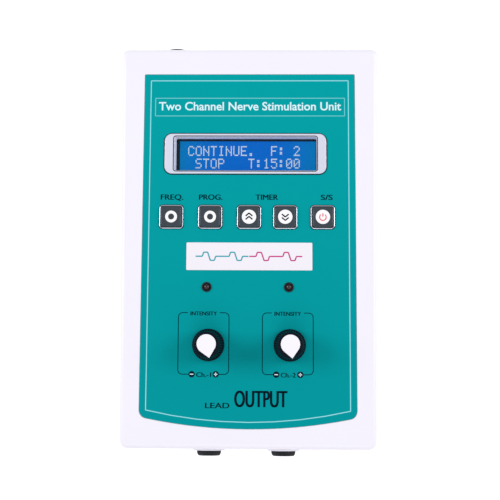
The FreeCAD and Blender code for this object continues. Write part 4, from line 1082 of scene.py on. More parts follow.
@dataclass
class PrintedPanel:
    """The teal film on the sloping top, the name strip, and everything printed on them."""

    shop: Workshop
    border_inset: float = 3.0
    border_line: float = 0.42
    bow: float = 5.3               # how far the front edge bows out between its corners
    bow_points: int = 9
    fine_line: float = 0.36
    title: str = "Two Channel Nerve Stimulation Unit"
    title_box: tuple[float, float, float, float] = (-44.6, 61.5, 45.0, 70.1)
    title_width: float = 86.4
    title_weight: float = 0.017
    title_cap: float = 4.0
    title_lift: float = 0.5        # of the words above the middle of their frame
    legend_y: float = 22.5
    legend_cap: float = 2.5
    legend_strike: float = 0.22
    key_words: tuple[tuple[str, float, float, tuple[str, ...]], ...] = (     # word, width, shift, its keys
        ("FREQ.", 10.7, 0.2, ("frequency",)), ("PROG.", 11.1, 0.2, ("program",)),
        ("TIMER", 10.6, -0.2, ("timer_up", "timer_down")), ("S/S", 5.6, 1.9, ("start_stop",)))
    output_words: tuple[tuple[str, float, float, Point, float], ...] = (
        ("OUTPUT", 7.4, 24.4, (5.9, -70.8), 0.5), ("LEAD", 2.4, 11.2, (-14.0, -73.9), 0.2))
    control_size: tuple[float, float] = (23.4, 28.2)
    control_centres: tuple[Point, Point] = ((-20.6, -45.7), (18.2, -45.7))
    control_radius: float = 2.0
    heading_gap: float = 14.8
    heading_drop: float = 0.35     # of the heading below the middle of the outline's line
    heading_cap: float = 1.8
    heading_width: float = 12.3
    heading_strike: float = 0.16
    channel_cap: float = 2.1
    channel_width: float = 6.9
    sign_radius: float = 1.45
    sign_places: tuple[float, float] = (-5.3, 5.75)     # from the control's centre
    sign_arm: float = 0.7975       # half the length of a sign's stroke
    sign_line: float = 0.45
    pulse: tuple[Point, ...] = ((0.0, 0), (0.25, 0), (0.3, 1), (0.45, 1), (0.55, -1), (0.7, -1), (0.75, 0))
    pulse_length: float = 12.5     # of one cycle on the name strip
    pulse_rise: float = 1.9
    pulse_line: float = 0.6
    pulse_corner: float = 0.4
    pulse_end: float = 1.97        # where a half of two cycles stops
    film_face: float = field(init=False, default=0.0)

    def build(self) -> None:
        """Dress the film and lay down its printing."""
        self.shop.dress("front_overlay", "name_strip")
        self.film_face = self.shop.extent("front_overlay")[1].z
        self.print_piece("panel_border", [self.border()], LINE_INK, "strip_white")
        left, low, right, high = self.title_box
        frame_corners = [(left, low), (right, low), (right, high), (left, high)]
        self.print_piece("title_frame", [ink_stroke(frame_corners, self.fine_line, closed=True)], FRAME_INK,
                         "strip_white")
        centre = ((left + right) / 2, (low + high) / 2 + self.title_lift)
        title = lettering(self.title, self.title_cap, self.title_width, centre, self.title_weight)
        self.print_piece("title_lettering", [title], PALE_INK, "strip_white")
        self.print_piece("key_legends", self.key_legends(), DARK_INK_AND_SHADE, "moulding_black")
        for number, place in enumerate(self.control_centres, start=1):
            self.control_printing(number, place)
        output = [bold_lettering(*words) for words in self.output_words]
        self.print_piece("output_legend", output, DARK_INK_AND_SHADE, "moulding_black")
        self.strip_printing()

    def print_piece(self, name: str, shapes: list[Shape], ink: Finish, slot: str,
                    height: float | None = None) -> None:
        """Put printing on the film, or at another height of the panel."""
        level = self.film_face if height is None else height
        self.shop.add(name, together(shapes), self.shop.on_panel(0, 0, level), ink, slot)

    def border(self) -> Shape:
        """Draw the line that follows the film's edge, bowed at the user's end.

        Returns:
            The line as one closed stroke.
        """
        low, high = self.shop.extent("front_overlay")
        left, right = low.x + self.border_inset, high.x - self.border_inset
        rear, front = high.y - self.border_inset, low.y + self.border_inset
        radius = (((right - left) / 2) ** 2 + self.bow ** 2) / (2 * self.bow)
        half_angle = math.asin((right - left) / 2 / radius)
        bowed = []
        for k in range(self.bow_points):
            angle = half_angle * (1 - 2 * k / (self.bow_points - 1))
            bowed.append(((left + right) / 2 + radius * math.sin(angle),
                          front + radius * (1 - math.cos(angle))))
        return ink_stroke([(left, rear), (right, rear), *bowed], self.border_line, closed=True)

    def key_legends(self) -> list[Shape]:
        """Set the words above the keys.

        Returns:
            One shape for each word.
        """
        shapes = []
        for word, width, shift, keys in self.key_words:
            x = sum(self.shop.middle(f"{key}_keycap").x for key in keys) / len(keys) + shift
            place = (x, self.legend_y)
            shapes.append(bold_lettering(word, self.legend_cap, width, place, self.legend_strike))
        return shapes

    def control_printing(self, number: int, place: Point) -> None:
        """Print the outline, heading, signs and channel number round one knob.

        Args:
            number: The channel's number.
            place: The knob's axis on the panel.
        """
        x, y = place
        half_x, half_y = self.control_size[0] / 2, self.control_size[1] / 2
        shapes = []
        for side, sign_x in zip((-1, 1), self.sign_places):
            path = [(x + side * self.heading_gap / 2, y + half_y), (x + side * half_x, y + half_y),
                    (x + side * half_x, y - half_y), (x + sign_x, y - half_y)]
            shapes.append(ink_stroke(path, self.fine_line, self.control_radius))
            shapes.append(ink_disc(self.sign_radius, (x + sign_x, y - half_y)))
        heading = (x, y + half_y - self.heading_drop)
        shapes.append(bold_lettering("INTENSITY", self.heading_cap, self.heading_width, heading,
                                     self.heading_strike))
        channel = (x + sum(self.sign_places) / 2, y - half_y - self.heading_drop / 2)
        shapes.append(bold_lettering(f"Ch.-{number}", self.channel_cap, self.channel_width, channel,
                                     self.heading_strike))
        self.print_piece(f"intensity_outline_{number}", shapes, DARK_INK_AND_SHADE, "moulding_black")
        arm, line = self.sign_arm, self.sign_line
        minus, plus = (x + self.sign_places[0], y - half_y), (x + self.sign_places[1], y - half_y)
        signs = [ink_stroke([(centre[0] - arm, centre[1]), (centre[0] + arm, centre[1])], line)
                 for centre in (minus, plus)]
        signs.append(ink_stroke([(plus[0], plus[1] - arm), (plus[0], plus[1] + arm)], line))
        self.print_piece(f"intensity_signs_{number}", signs, PALE_INK, "strip_white",
                         self.film_face + INK_PROUD)

    def strip_printing(self) -> None:
        """Print a plain pulse line across the name strip, half in teal and half in rose."""
        low, high = self.shop.extent("name_strip")
        middle = (low + high) / 2
        for name, ink, slot, first in (("strip_pulse_teal", TEAL_INK, "overlay_teal", -2),
                                       ("strip_pulse_rose", ROSE_INK, "lamp_red", 0)):
            steps = [(number + run, lift) for number in (first, first + 1) for run, lift in self.pulse]
            path = [(middle.x + run * self.pulse_length, middle.y + lift * self.pulse_rise)
                    for run, lift in (*steps, (first + self.pulse_end, 0))]
            self.print_piece(name, [ink_stroke(path, self.pulse_line, self.pulse_corner)], ink, slot, high.z)


@dataclass
class Display:
    """The backlit character display in its silver bezel."""

    shop: Workshop
    outline: float = 0.45          # width of the painted shadow line round the bezel's foot
    opening_shade_width: float = 0.4        # and of the painted shade line round its opening's edge
    corner: float = 3.5
    edge: float = 0.35
    edge_steps: tuple[Point, ...] = ((0.0, 1.0), (0.3, 0.3), (1.0, 0.0))     # in and down, in edges
    segments: int = 8
    reveal: tuple[float, float] = (0.85, 0.5)    # how far the left and rear walls of the opening slope in
    reveal_corner: float = 0.8
    window_gap: float = 0.1
    neck_wall: float = 1.1
    columns: tuple[float, float] = (-29.16, 3.585)      # the first cell's left side, and the pitch
    rows: tuple[float, float] = (47.78, 41.71)          # the top of each row of characters
    dot_pitch: tuple[float, float] = (0.59, 0.69)
    dot_share: float = 0.88
    dot_height: float = 0.05
    lines: tuple[str, str] = ("CONTINUE.  F: 2", " STOP   T:15:00")

    def build(self) -> None:
        """Dress the module, make the bezel, and light the characters."""
        self.shop.dress("lcd_window", "lcd_metal_frame", "lcd_glass", "lcd_backlight", "lcd_circuit_board",
                        "lcd_pin_header", "lcd_ribbon_cable", "ribbon_plug")
        self.bezel()
        self.characters()

    def bezel(self) -> None:
        """Make the bezel: a flange with soft edges, and a neck whose walls slope in to the window."""
        low, high = self.shop.extent("lcd_bezel")
        window_low, window_high = self.shop.extent("lcd_window")
        film = self.shop.extent("front_overlay")[1].z
        width, depth, middle = high.x - low.x, high.y - low.y, (low + high) / 2
        open_x = window_high.x - window_low.x + 2 * self.window_gap
        open_y = window_high.y - window_low.y + 2 * self.window_gap
        edge, corner, inner, wall = self.edge, self.corner, self.reveal_corner, self.neck_wall
        slope_x, slope_y = self.reveal
        ledge = window_high.z + self.window_gap
        top = high.z - INK_PROUD
        rounding = [(inwards * edge, down * edge) for inwards, down in self.edge_steps]
        loops = [
            Loop(width, depth, corner, film),
            *(Loop(width - 2 * inwards, depth - 2 * inwards, corner - inwards, top - down)
              for inwards, down in rounding),
            Loop(open_x + edge, open_y + edge, inner + edge / 2, top),
            Loop(open_x, open_y, inner, top - edge / 2),
            Loop(open_x - slope_x, open_y - slope_y, inner, ledge, slope_x / 2, -slope_y / 2),
            Loop(open_x, open_y, inner, ledge), Loop(open_x, open_y, inner, low.z),
            Loop(open_x + 2 * wall, open_y + 2 * wall, inner + wall, low.z),
            Loop(open_x + 2 * wall, open_y + 2 * wall, inner + wall, film),
        ]
        self.shop.add("display_bezel", stacked(loops, self.segments, ring=True),
                      self.shop.on_panel(middle.x, middle.y), FINISHES["bezel_silver"], "bezel_silver",
                      stands_for=("lcd_bezel",))
        # both dark lines are painted shade: a shadow round the bezel's foot, and shade where the flange turns
        # down into the opening
        self.painted_shade_ring("bezel_shadow_line", middle, film, Loop(width, depth, corner, 0), self.outline)
        opening = Loop(open_x + edge, open_y + edge, inner + edge / 2, 0)
        self.painted_shade_ring("opening_shade_line", middle, top, opening, self.opening_shade_width)

    def painted_shade_ring(self, name: str, middle: Vector, height: float, inside: Loop, line: float) -> None:
        """Lay a dark line of painted shade round a rounded rectangle.

        Args:
            name: The piece's name.
            middle: The rectangle's middle on the panel.
            height: The face that it is printed on.
            inside: The line's inner edge.
            line: The line's width.
        """
        outside = Loop(inside.width + 2 * line, inside.depth + 2 * line, inside.radius + line, 0)
        self.shop.add(name, painted_shade_frame(outside, inside), self.shop.on_panel(middle.x, middle.y, height),
                      DARK_INK_AND_SHADE, "moulding_black")

    def characters(self) -> None:
        """Raise the lit dots of both rows of characters just off the glass."""
        top = self.shop.extent("lcd_glass")[1].z
        across, down = self.dot_pitch
        lit = bmesh.new()
        size = Matrix.Diagonal((across * self.dot_share, down * self.dot_share, self.dot_height, 1))
        for words, row_top in zip(self.lines, self.rows):
            for column, letter in enumerate(words):
                left = self.columns[0] + column * self.columns[1]
                for line, dots in enumerate(DOT_LETTERS[letter].split()):
                    for place, dot in enumerate(dots):
                        if dot == "#":
                            centre = (left + (place + 0.5) * across, row_top - (line + 0.5) * down, top)
                            bmesh.ops.create_cube(lit, size=1, matrix=Matrix.Translation(centre) @ size)
        self.shop.add("display_characters", lit, self.shop.panel, DISPLAY_DOTS, "strip_white")


DOT_LETTERS: dict[str, str] = {
    " ": "",
    "C": ".###. #...# #.... #.... #.... #...# .###.",
    "O": ".###. #...# #...# #...# #...# #...# .###.",
    "N": "#...# #...# ##..# #.#.# #..## #...# #...#",
    "T": "##### ..#.. ..#.. ..#.. ..#.. ..#.. ..#..",
    "I": ".###. ..#.. ..#.. ..#.. ..#.. ..#.. .###.",
    "U": "#...# #...# #...# #...# #...# #...# .###.",
    "E": "##### #.... #.... ####. #.... #.... #####",
    "F": "##### #.... #.... ####. #.... #.... #....",
    "S": ".#### #.... #.... .###. ....# ....# ####.",
    "P": "####. #...# #...# ####. #.... #.... #....",
    ".": "..... ..... ..... ..... ..... .##.. .##..",
    ":": "..... .##.. .##.. ..... .##.. .##.. .....",
    "0": ".###. #...# #..## #.#.# ##..# #...# .###.",
    "1": "..#.. .##.. ..#.. ..#.. ..#.. ..#.. .###.",
    "2": ".###. #...# ....# ...#. ..#.. .#... #####",
    "5": "##### #.... ####. ....# ....# #...# .###.",
}

KEYS: dict[str, KeySymbol] = {
    "frequency": KeySymbol.RING,
    "program": KeySymbol.RING,
    "timer_up": KeySymbol.UP,
    "timer_down": KeySymbol.DOWN,
    "start_stop": KeySymbol.POWER,
}


@dataclass
class Key:
    """One square key: its dished cap, the mark on it, and its plunger."""

    shop: Workshop
    name: str
    symbol: KeySymbol
    corner: float = 0.8
    flange: tuple[float, float] = (1.45, 1.2)      # how far it reaches out under the cover, and its height
    edge: float = 0.45
    edge_steps: tuple[Step, ...] = (       # off the width and down, in edges; corner share
        (0.0, 1.0, 1.0), (0.3, 0.4, 1.0), (1.0, 0.08, 0.9), (1.6, 0.0, 0.8))
    dish: float = 0.14
    dish_slope: float = 0.9
    dish_start: float = 2.4        # where the dish starts, in edges off the width
    dish_steps: tuple[Point, ...] = ((0.2, 0.7), (0.75, 0.6), (1.0, 0.5))      # share of depth, of corner
    stem: float = 3.9              # the square hole that takes the plunger's stem
    stem_depth: float = 2.6
    mark_radius: float = 3.35
    ring: tuple[float, float, int] = (2.12, 1.36, 24)          # radius, line, points
    power_arc: tuple[float, float, float] = (1.55, -0.15, 1.4)     # radius, height, bend radius
    power_angles: tuple[int, int, int] = (40, 321, 20)
    power_bar: Point = (0.1, 1.7)
    power_line: float = 0.5
    chevron: tuple[float, float, float] = (1.6, 1.35, 0.62)    # half width, rise, line
    chevron_lifts: Point = (-1.25, 0.35)

    def build(self) -> None:
        """Make the cap and its mark."""
        low, high = self.shop.extent(f"{self.name}_keycap")
        middle = (low + high) / 2
        place = self.shop.on_panel(middle.x, middle.y)
        self.shop.add(f"{self.name}_cap", self.cap(low, high), place, FINISHES["key_black"], "key_black",
                      f"{self.name}_key", (f"{self.name}_keycap",))
        self.shop.dress(f"{self.name}_plunger")
        face = self.shop.on_panel(middle.x, middle.y, high.z - self.dish)
        white, other, ink = self.mark()
        self.shop.add(f"{self.name}_mark", white, face, WHITE_INK, "pointer_white", f"{self.name}_key")
        if other is not None:
            raised = self.shop.on_panel(middle.x, middle.y, high.z - self.dish + INK_PROUD)
            self.shop.add(f"{self.name}_symbol", other, raised, ink, "lamp_red", f"{self.name}_key")

    def cap(self, low: Vector, high: Vector) -> Shape:
        """Make the cap with its flange under the cover and its stem hole.

        Args:
            low: The cap's lowest corner on the panel.
            high: The cap's highest corner.

        Returns:
            The cap, drawn about its own middle.
        """
        flange, flange_top = high.x - low.x, low.z + self.flange[1]
        size, edge, corner = flange - 2 * self.flange[0], self.edge, self.corner
        inner = size - 2 * edge - 2 * self.dish_slope
        dished = (size - self.dish_start * edge, inner + self.dish_slope, inner)
        loops = [
            Loop(flange, flange, corner, low.z), Loop(flange, flange, corner, flange_top),
            Loop(size, size, corner, flange_top),
            *(Loop(size - off * edge, size - off * edge, corner * share, high.z - down * edge)
              for off, down, share in self.edge_steps),
            *(Loop(width, width, corner * share, high.z - self.dish * down)
              for width, (down, share) in zip(dished, self.dish_steps)),
        ]
        hole = bmesh.new()
        middle = Matrix.Translation((0, 0, low.z + (self.stem_depth - CUT_PAST) / 2))
        size = Matrix.Diagonal((self.stem, self.stem, self.stem_depth + CUT_PAST, 1))
        bmesh.ops.create_cube(hole, size=1, matrix=middle @ size)
        return carved(stacked(loops), hole)

    def mark(self) -> tuple[Shape, Shape | None, Finish]:
        """Draw the mark on the cap.

        Returns:
            The white part, what is printed on it if anything is, and that print's ink.
        """
        if self.symbol is KeySymbol.RING:
            radius, line, count = self.ring
            return ink_stroke(ring_points(radius, count), line, radius, closed=True), None, WHITE_INK
        disc = ink_disc(self.mark_radius, (0, 0))
        if self.symbol is KeySymbol.POWER:
            radius, height, bend = self.power_arc
            angles = [math.radians(angle) for angle in range(*self.power_angles)]
            arc = [(radius * math.sin(angle), radius * math.cos(angle) + height) for angle in angles]
            bar = [(0, end) for end in self.power_bar]
            strokes = [ink_stroke(arc, self.power_line, bend), ink_stroke(bar, self.power_line)]
            return disc, together(strokes), RED_INK
        flip = 1 if self.symbol is KeySymbol.UP else -1
        half, rise, line = self.chevron
        chevrons = [ink_stroke([(-half, flip * lift), (0, flip * (lift + rise)), (half, flip * lift)], line)
                    for lift in self.chevron_lifts]
        return disc, together(chevrons), DARK_INK_AND_SHADE


@dataclass
class KeyRow:
    """The five keys in their bright frames, over their switches."""

    shop: Workshop
    # width of the painted shade line round each frame's foot
    outline: float = 0.3
    corner: float = 1.5
    opening: float = 9.9
    opening_corner: float = 0.8
    neck: float = 10.6
    neck_corner: float = 0.9
    edge: float = 0.22
    outer_steps: tuple[Step, ...] = (      # off the width and down, in edges; off the corner
        (0.0, 1.0, 0.0), (0.5, 0.3, 0.0), (1.6, 0.0, 0.1))
    inner_steps: tuple[Step, ...] = (      # on to the opening and down, in edges; on to the corner
        (1.2, 0.0, 0.2), (0.0, 0.8, 0.0))

    def build(self) -> None:
        """Make the keys, their frames, and the painted shade round the frames' feet."""
        self.shop.dress("key_switch_bodies")
        low, high = self.shop.extent("key_frames")
        film = self.shop.extent("front_overlay")[1].z
        size, opening, corner, edge = high.y - low.y, self.opening, self.opening_corner, self.edge
        loops = [
            Loop(size, size, self.corner, film),
            *(Loop(size - off * edge, size - off * edge, self.corner - less, high.z - down * edge)
              for off, down, less in self.outer_steps),
            *(Loop(opening + on * edge, opening + on * edge, corner + more, high.z - down * edge)
              for on, down, more in self.inner_steps),
            Loop(opening, opening, corner, low.z), Loop(self.neck, self.neck, self.neck_corner, low.z),
            Loop(self.neck, self.neck, self.neck_corner, film),
        ]
        outside = size + 2 * self.outline
        frames, shade_lines = [], []
        for name, symbol in KEYS.items():
            Key(self.shop, name, symbol).build()
            middle = self.shop.middle(f"{name}_keycap")
            frames.append(shifted(stacked(loops, ring=True), middle.x, middle.y))
            # a dark line round each frame's foot: painted shade of the gap, laid on the film
            inner = Loop(size, size, self.corner, 0, middle.x, middle.y)
            outer = Loop(outside, outside, self.corner + self.outline, 0, middle.x, middle.y)
            shade_lines.append(painted_shade_frame(outer, inner))
        self.shop.add("key_bezels", together(frames), self.shop.panel, FINISHES["key_silver"], "key_silver",
                      stands_for=("key_frames",))
        self.shop.add("key_shade_lines", together(shade_lines), self.shop.on_panel(0, 0, film), DARK_INK_AND_SHADE,
                      "moulding_black")


@dataclass
class IntensityKnob:
    """One channel's ribbed knob with its white pointer, on its shaft."""

    shop: Workshop
    number: int
    ribs: int = 36
    sides: int = 288
    rib_depth: float = 0.42
    flange_radius: float = 7.4
    flange_top: float = 2.3
    waist: float = 6.95
    waist_drop: float = 0.9        # from the crown's edge to the skirt's top
    crown: float = 5.8
    crown_rim: Point = (1.0, 1.25)     # from the crown's edge to the rim's inner edge, and to its foot
    crown_dip: Point = (0.35, 0.3)     # down to the rim's foot, and to the middle
    bore: float = 3.02
    hollow: Point = (6.0, 4.2)     # radius and height of the space under the knob
    rounding: tuple[float, ...] = (0.4, 0.25, 0.5, 0.55, 0.2, 0.15)    # of the corners, from the hollow round
    flute_gap: Point = (0.05, 0.5)     # from the flutes' ends to the flange and to the crown
    flute_floor: float = 5.1           # no flute reaches further in
    cap_radius: float = 4.3
    cap_reach: float = 6.35
    cap_offset: float = 0.4
    cap_segments: int = 96
    cap_edge: float = 0.22
    cap_edge_segments: int = 3

    def build(self) -> None:
        """Make the knob and its pointer, and dress the control behind them."""
        number, body = self.number, f"knob_{self.number}"
        self.shop.dress(f"knob_shaft_{number}", f"potentiometer_{number}")
        low, high = self.shop.extent(f"knob_body_{number}")
        axis = self.shop.panel.inverted() @ Vector(self.shop.joints[f"intensity_{number}_turn"]["pos_m"])
        tip_low, tip_high = self.shop.extent(f"knob_pointer_{number}")
        points = [self.shop.panel.inverted() @ vert.co
                  for vert in self.shop.nodes[f"knob_pointer_{number}"].data.vertices]
        tip = max(points, key=lambda point: (point.xy - axis.xy).length).xy - axis.xy
        turn = math.degrees(math.atan2(tip.x, -tip.y))
        place = self.shop.on_panel(axis.x, axis.y, 0, turn)
        shaft_top = self.shop.extent(f"knob_shaft_{number}")[1].z
        self.shop.add(f"intensity_knob_{number}", self.knob(low.z, high.z, shaft_top), place,
                      FINISHES["knob_black"], "knob_black", body, (f"knob_body_{number}",))
        self.shop.add(f"intensity_pointer_{number}", self.pointer(tip_low.z, tip_high.z), place,
                      FINISHES["pointer_white"], "pointer_white", body, (f"knob_pointer_{number}",))

    def knob(self, low: float, high: float, shaft_top: float) -> Shape:
        """Make the knob: flange, fluted skirt and rimmed crown, with its bore and hollow underneath.

        Args:
            low: The height of its foot.
            high: The height of its crown's edge.
            shaft_top: The height of its shaft's end, which the bore stops at.

        Returns:
            The knob, drawn about its axis.
        """
        bore, crown, (hollow, hollow_top) = self.bore, self.crown, self.hollow
        rim, foot = self.crown_rim
        foot_dip, dip = self.crown_dip
        inside, flange, waist, brow, lip, sill = self.rounding
        corners = [
            (0, shaft_top, 0), (bore, shaft_top, 0), (bore, hollow_top, 0), (hollow, hollow_top, inside),
            (hollow, low, 0), (self.flange_radius, low, flange), (self.flange_radius, self.flange_top, waist),
            (self.waist, self.flange_top, 0), (crown + self.flute_gap[0], high - self.waist_drop, 0),
            (crown, high, brow), (crown - rim, high, lip), (crown - foot, high - foot_dip, sill),
            (0, high - dip, 0),
        ]
        shape = turned(rounded_profile(corners), self.sides)
        start, end = self.flange_top - self.flute_gap[0], high - self.flute_gap[1]
        return fluted(shape, self.ribs, self.rib_depth, start, end, self.flute_floor)

    def pointer(self, low: float, high: float) -> Shape:
        """Make the teardrop: a disc drawn out to a tip, with a rounded upper edge.

        Args:
            low: The height of its underside.
            high: The height of its top.

        Returns:
            The pointer, drawn with its tip towards the user.
        """
        shape = bmesh.new()
        rim = bmesh.ops.create_circle(shape, cap_ends=True, segments=self.cap_segments,
                                      radius=self.cap_radius)
        touch = math.acos(self.cap_radius / self.cap_reach)
        for vert in rim["verts"]:
            off = abs(math.atan2(vert.co.x, -vert.co.y))
            if off < touch:
                vert.co.xy *= 1 / math.cos(touch - off)
        made = bmesh.ops.extrude_face_region(shape, geom=list(shape.faces))["geom"]
        bmesh.ops.translate(shape, vec=(0, 0, high - low), verts=verts_of(made))
        softened(shape, self.cap_edge, self.cap_edge_segments, (high - low) / 2)
        return shifted(shape, 0, self.cap_offset, low)


@dataclass
class ChannelLamp:
    """One channel's lamp: a tinted dome in a black holder."""

    shop: Workshop
    number: int
    sides: int = 48
    radius: float = 1.5
    rim_height: float = 1.0
    dome_angles: tuple[int, int, int] = (9, 91, 9)     # of the dome's rings, in degrees: first, end, step

    def build(self) -> None:
        """Make the domed lens."""
        low, high = self.shop.extent(f"channel_lamp_{self.number}")
        middle = (low + high) / 2
        rim, radius, rim_top = (high.x - low.x) / 2, self.radius, low.z + self.rim_height
        corners = [(0, low.z), (rim, low.z), (rim, rim_top), (radius, rim_top), (radius, high.z - radius)]
        angles = [math.radians(angle) for angle in range(*self.dome_angles)]
        dome = [(radius * math.cos(angle), high.z - radius + radius * math.sin(angle)) for angle in angles]
        self.shop.add(f"lamp_lens_{self.number}", turned(corners + dome, self.sides),
                      self.shop.on_panel(middle.x, middle.y), FINISHES["lamp_red"], "lamp_red",
                      stands_for=(f"channel_lamp_{self.number}",))


@dataclass
class ChannelControls:
    """Both channels' lamps and knobs, with the holders, nuts and leads that they share."""

    shop: Workshop
    sides: int = 64
    sleeve: float = 2.0
    bore: float = 1.55
    bore_lip: Point = (0.1, 0.4)   # how far the bore opens out at its mouth, and how deep
    rounding: Point = (0.25, 0.12)     # of the holder's outer and inner edges

    def build(self) -> None:
        """Make the lamps, their holders and the knobs."""
        self.shop.dress("lamp_leads", "potentiometer_nuts")
        holders = []
        low, high = self.shop.extent("lamp_holders")
        film = self.shop.extent("front_overlay")[1].z
        rim, sleeve, bore, (flare, depth) = (high.y - low.y) / 2, self.sleeve, self.bore, self.bore_lip
        outer, inner = self.rounding
        corners = [(sleeve, film, 0), (rim, film, 0), (rim, high.z, outer), (bore + flare, high.z, inner),
                   (bore, high.z - depth, 0), (bore, low.z, 0), (sleeve, low.z, 0), (sleeve, film, 0)]
        for number in (1, 2):
            ChannelLamp(self.shop, number).build()
            IntensityKnob(self.shop, number).build()
            middle = self.shop.middle(f"channel_lamp_{number}")
            holders.append(shifted(turned(rounded_profile(corners), self.sides), middle.x, middle.y))
        self.shop.add("lamp_collars", together(holders), self.shop.panel, FINISHES["moulding_black"],
                      "moulding_black", stands_for=("lamp_holders",))


@dataclass
class LeadSockets:
    """The two electrode-lead sockets in the wall that faces the user."""

    shop: Workshop
    sides: int = 288
    flutes: int = 36
    flute_depth: float = 0.3
    flute_gap: Point = (0.1, 0.5)      # from the flutes' ends to the ring's back and front
    bore: float = 4.42
    nose: float = 4.85
    nose_slope: Point = (0.25, 0.15)   # how far the nose spreads, and tapers at its tip
    step: float = 1.1                  # thickness of the ring's rim
    rounding: tuple[float, ...] = (0.15, 0.3, 0.3, 0.1)

    def build(self) -> None:
        """Dress the socket bodies and make their fluted ring nuts."""
        self.shop.dress("output_socket_1", "output_socket_2", "solder_terminals")
        rings = []
        for number in (1, 2):
            low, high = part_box(f"output_socket_{number}")
            nut_low, nut_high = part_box("socket_ring_nuts")
            middle = (low + high) / 2 / MM
            front, back = -nut_low.y / MM, -nut_high.y / MM
            outer = (nut_high.z - nut_low.z) / 2 / MM
            bore, nose, (spread, taper) = self.bore, self.nose, self.nose_slope
            rear, rim, swell, tip = self.rounding
            corners = [(bore, back, 0), (outer, back, rear), (outer, back + self.step, rim),
                       (nose + spread, front - spread, swell), (nose - taper, front, tip),
                       (bore, front - taper, 0), (bore, back, 0)]
            ring = fluted(turned(rounded_profile(corners), self.sides), self.flutes, self.flute_depth,
                          back + self.flute_gap[0], front - self.flute_gap[1], nose)
            facing = Matrix.Translation((middle.x, 0, middle.z)) @ Matrix.Rotation(math.pi / 2, 4, "X")
            rings.append(moved(ring, facing))
        self.shop.add("socket_collars", together(rings), Matrix.Scale(MM, 4), FINISHES["moulding_black"],
                      "moulding_black", stands_for=("socket_ring_nuts",))


@dataclass
class SupplyEnd:
    """The supply inlet and the power rocker in the rear wall."""

    shop: Workshop
    tilt: float = 10.0
    half_length: float = 7.9
    end_thickness: float = 3.0
    middle_thickness: float = 1.9
    back: float = 2.2
    curve_points: int = 9
    edge: float = 0.35
    edge_segments: int = 3
    edge_above: float = -0.5       # the underside's edges stay sharp
    bore: float = 0.95
    bore_sides: int = 32
    mark_line: float = 0.5
    mark_place: float = 4.9        # from the pivot
    mark_bar: float = 1.2          # half its length
    mark_ring: tuple[float, float, int] = (1.1, 1.0, 16)       # radius, bend radius, points

    def build(self) -> None:
        """Dress the inlet and the housing, and make the rocker with its on and off marks."""
        self.shop.dress("inlet_body", "inlet_pin", "inlet_nut", "rocker_housing", "rocker_pivot_pin")
        pivot = Vector(self.shop.joints["power_rocker_tilt"]["pos_m"])
        outward = Matrix.Rotation(-math.pi / 2, 4, "X") @ Matrix.Rotation(math.radians(self.tilt), 4, "X")
        place = Matrix.Translation(pivot) @ outward @ Matrix.Scale(MM, 4)
        low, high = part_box("rocker_button")
        self.shop.add("power_rocker", self.button((high.x - low.x) / MM), place, FINISHES["key_black"],
                      "key_black", "rocker", ("rocker_button",))
        self.shop.add("rocker_marks", self.marks(), place, WHITE_INK, "pointer_white", "rocker")

    def face(self, y: float) -> float:
        """Return the height of the button's hollow face at a distance from its pivot."""
        hollow = self.end_thickness - self.middle_thickness
        return self.middle_thickness + hollow * (y / self.half_length) ** 2

    def button(self, width: float) -> Shape:
        """Make the rocker: a gently hollow face over a rounded underside, bored for its pin.

        Args:
            width: Its width along the pin.

        Returns:
            The rocker, drawn about its pin.
        """
        half, back = self.half_length, self.back
        count = self.curve_points - 1
        top = [(half * (2 * k / count - 1), self.face(half * (2 * k / count - 1))) for k in range(count + 1)]
        outline = [(-half, 0), *top, (half, 0), (half / 2, -back), (-half / 2, -back)]
        shape = bmesh.new()
        side = shape.faces.new([shape.verts.new((-width / 2, y, z)) for y, z in outline])
        made = bmesh.ops.extrude_face_region(shape, geom=[side])["geom"]
        bmesh.ops.translate(shape, vec=(width, 0, 0), verts=verts_of(made))
        bmesh.ops.recalc_face_normals(shape, faces=shape.faces)
        softened(shape, self.edge, self.edge_segments, self.edge_above)
        bore = bmesh.new()
        bmesh.ops.create_cone(bore, cap_ends=True, segments=self.bore_sides, radius1=self.bore,
                              radius2=self.bore, depth=width + 2 * CUT_PAST,
                              matrix=Matrix.Rotation(math.pi / 2, 4, "Y"))
        return carved(shape, bore)

    def marks(self) -> Shape:
        """Draw the bar for on and the ring for off.

        Returns:
            Both marks as one shape.
        """
        place, (radius, bend, count) = self.mark_place, self.mark_ring
        lean = math.atan2(self.face(place + 1) - self.face(place - 1), 2)
        height = (self.face(place + 1) + self.face(place - 1)) / 2
        bar = ink_stroke([(0, -self.mark_bar), (0, self.mark_bar)], self.mark_line)
        ring = ink_stroke(ring_points(radius, count), self.mark_line, bend, closed=True)
        shapes = []
        for side, mark in ((-1, bar), (1, ring)):
            turn = Matrix.Rotation(side * lean, 4, "X")
            shapes.append(moved(mark, Matrix.Translation((0, side * place, height)) @ turn))
        return together(shapes)


@dataclass
class Electronics:
    """The main board and what it carries, inside the case."""

    shop: Workshop

    def build(self) -> None:
        """Dress every piece inside."""
        self.shop.dress("main_circuit_board", "board_screws", "transformer_cores", "transformer_windings",
                        "microcontroller", "voltage_regulator", "electrolytic_capacitors", "quartz_crystal",
                        "resistors")


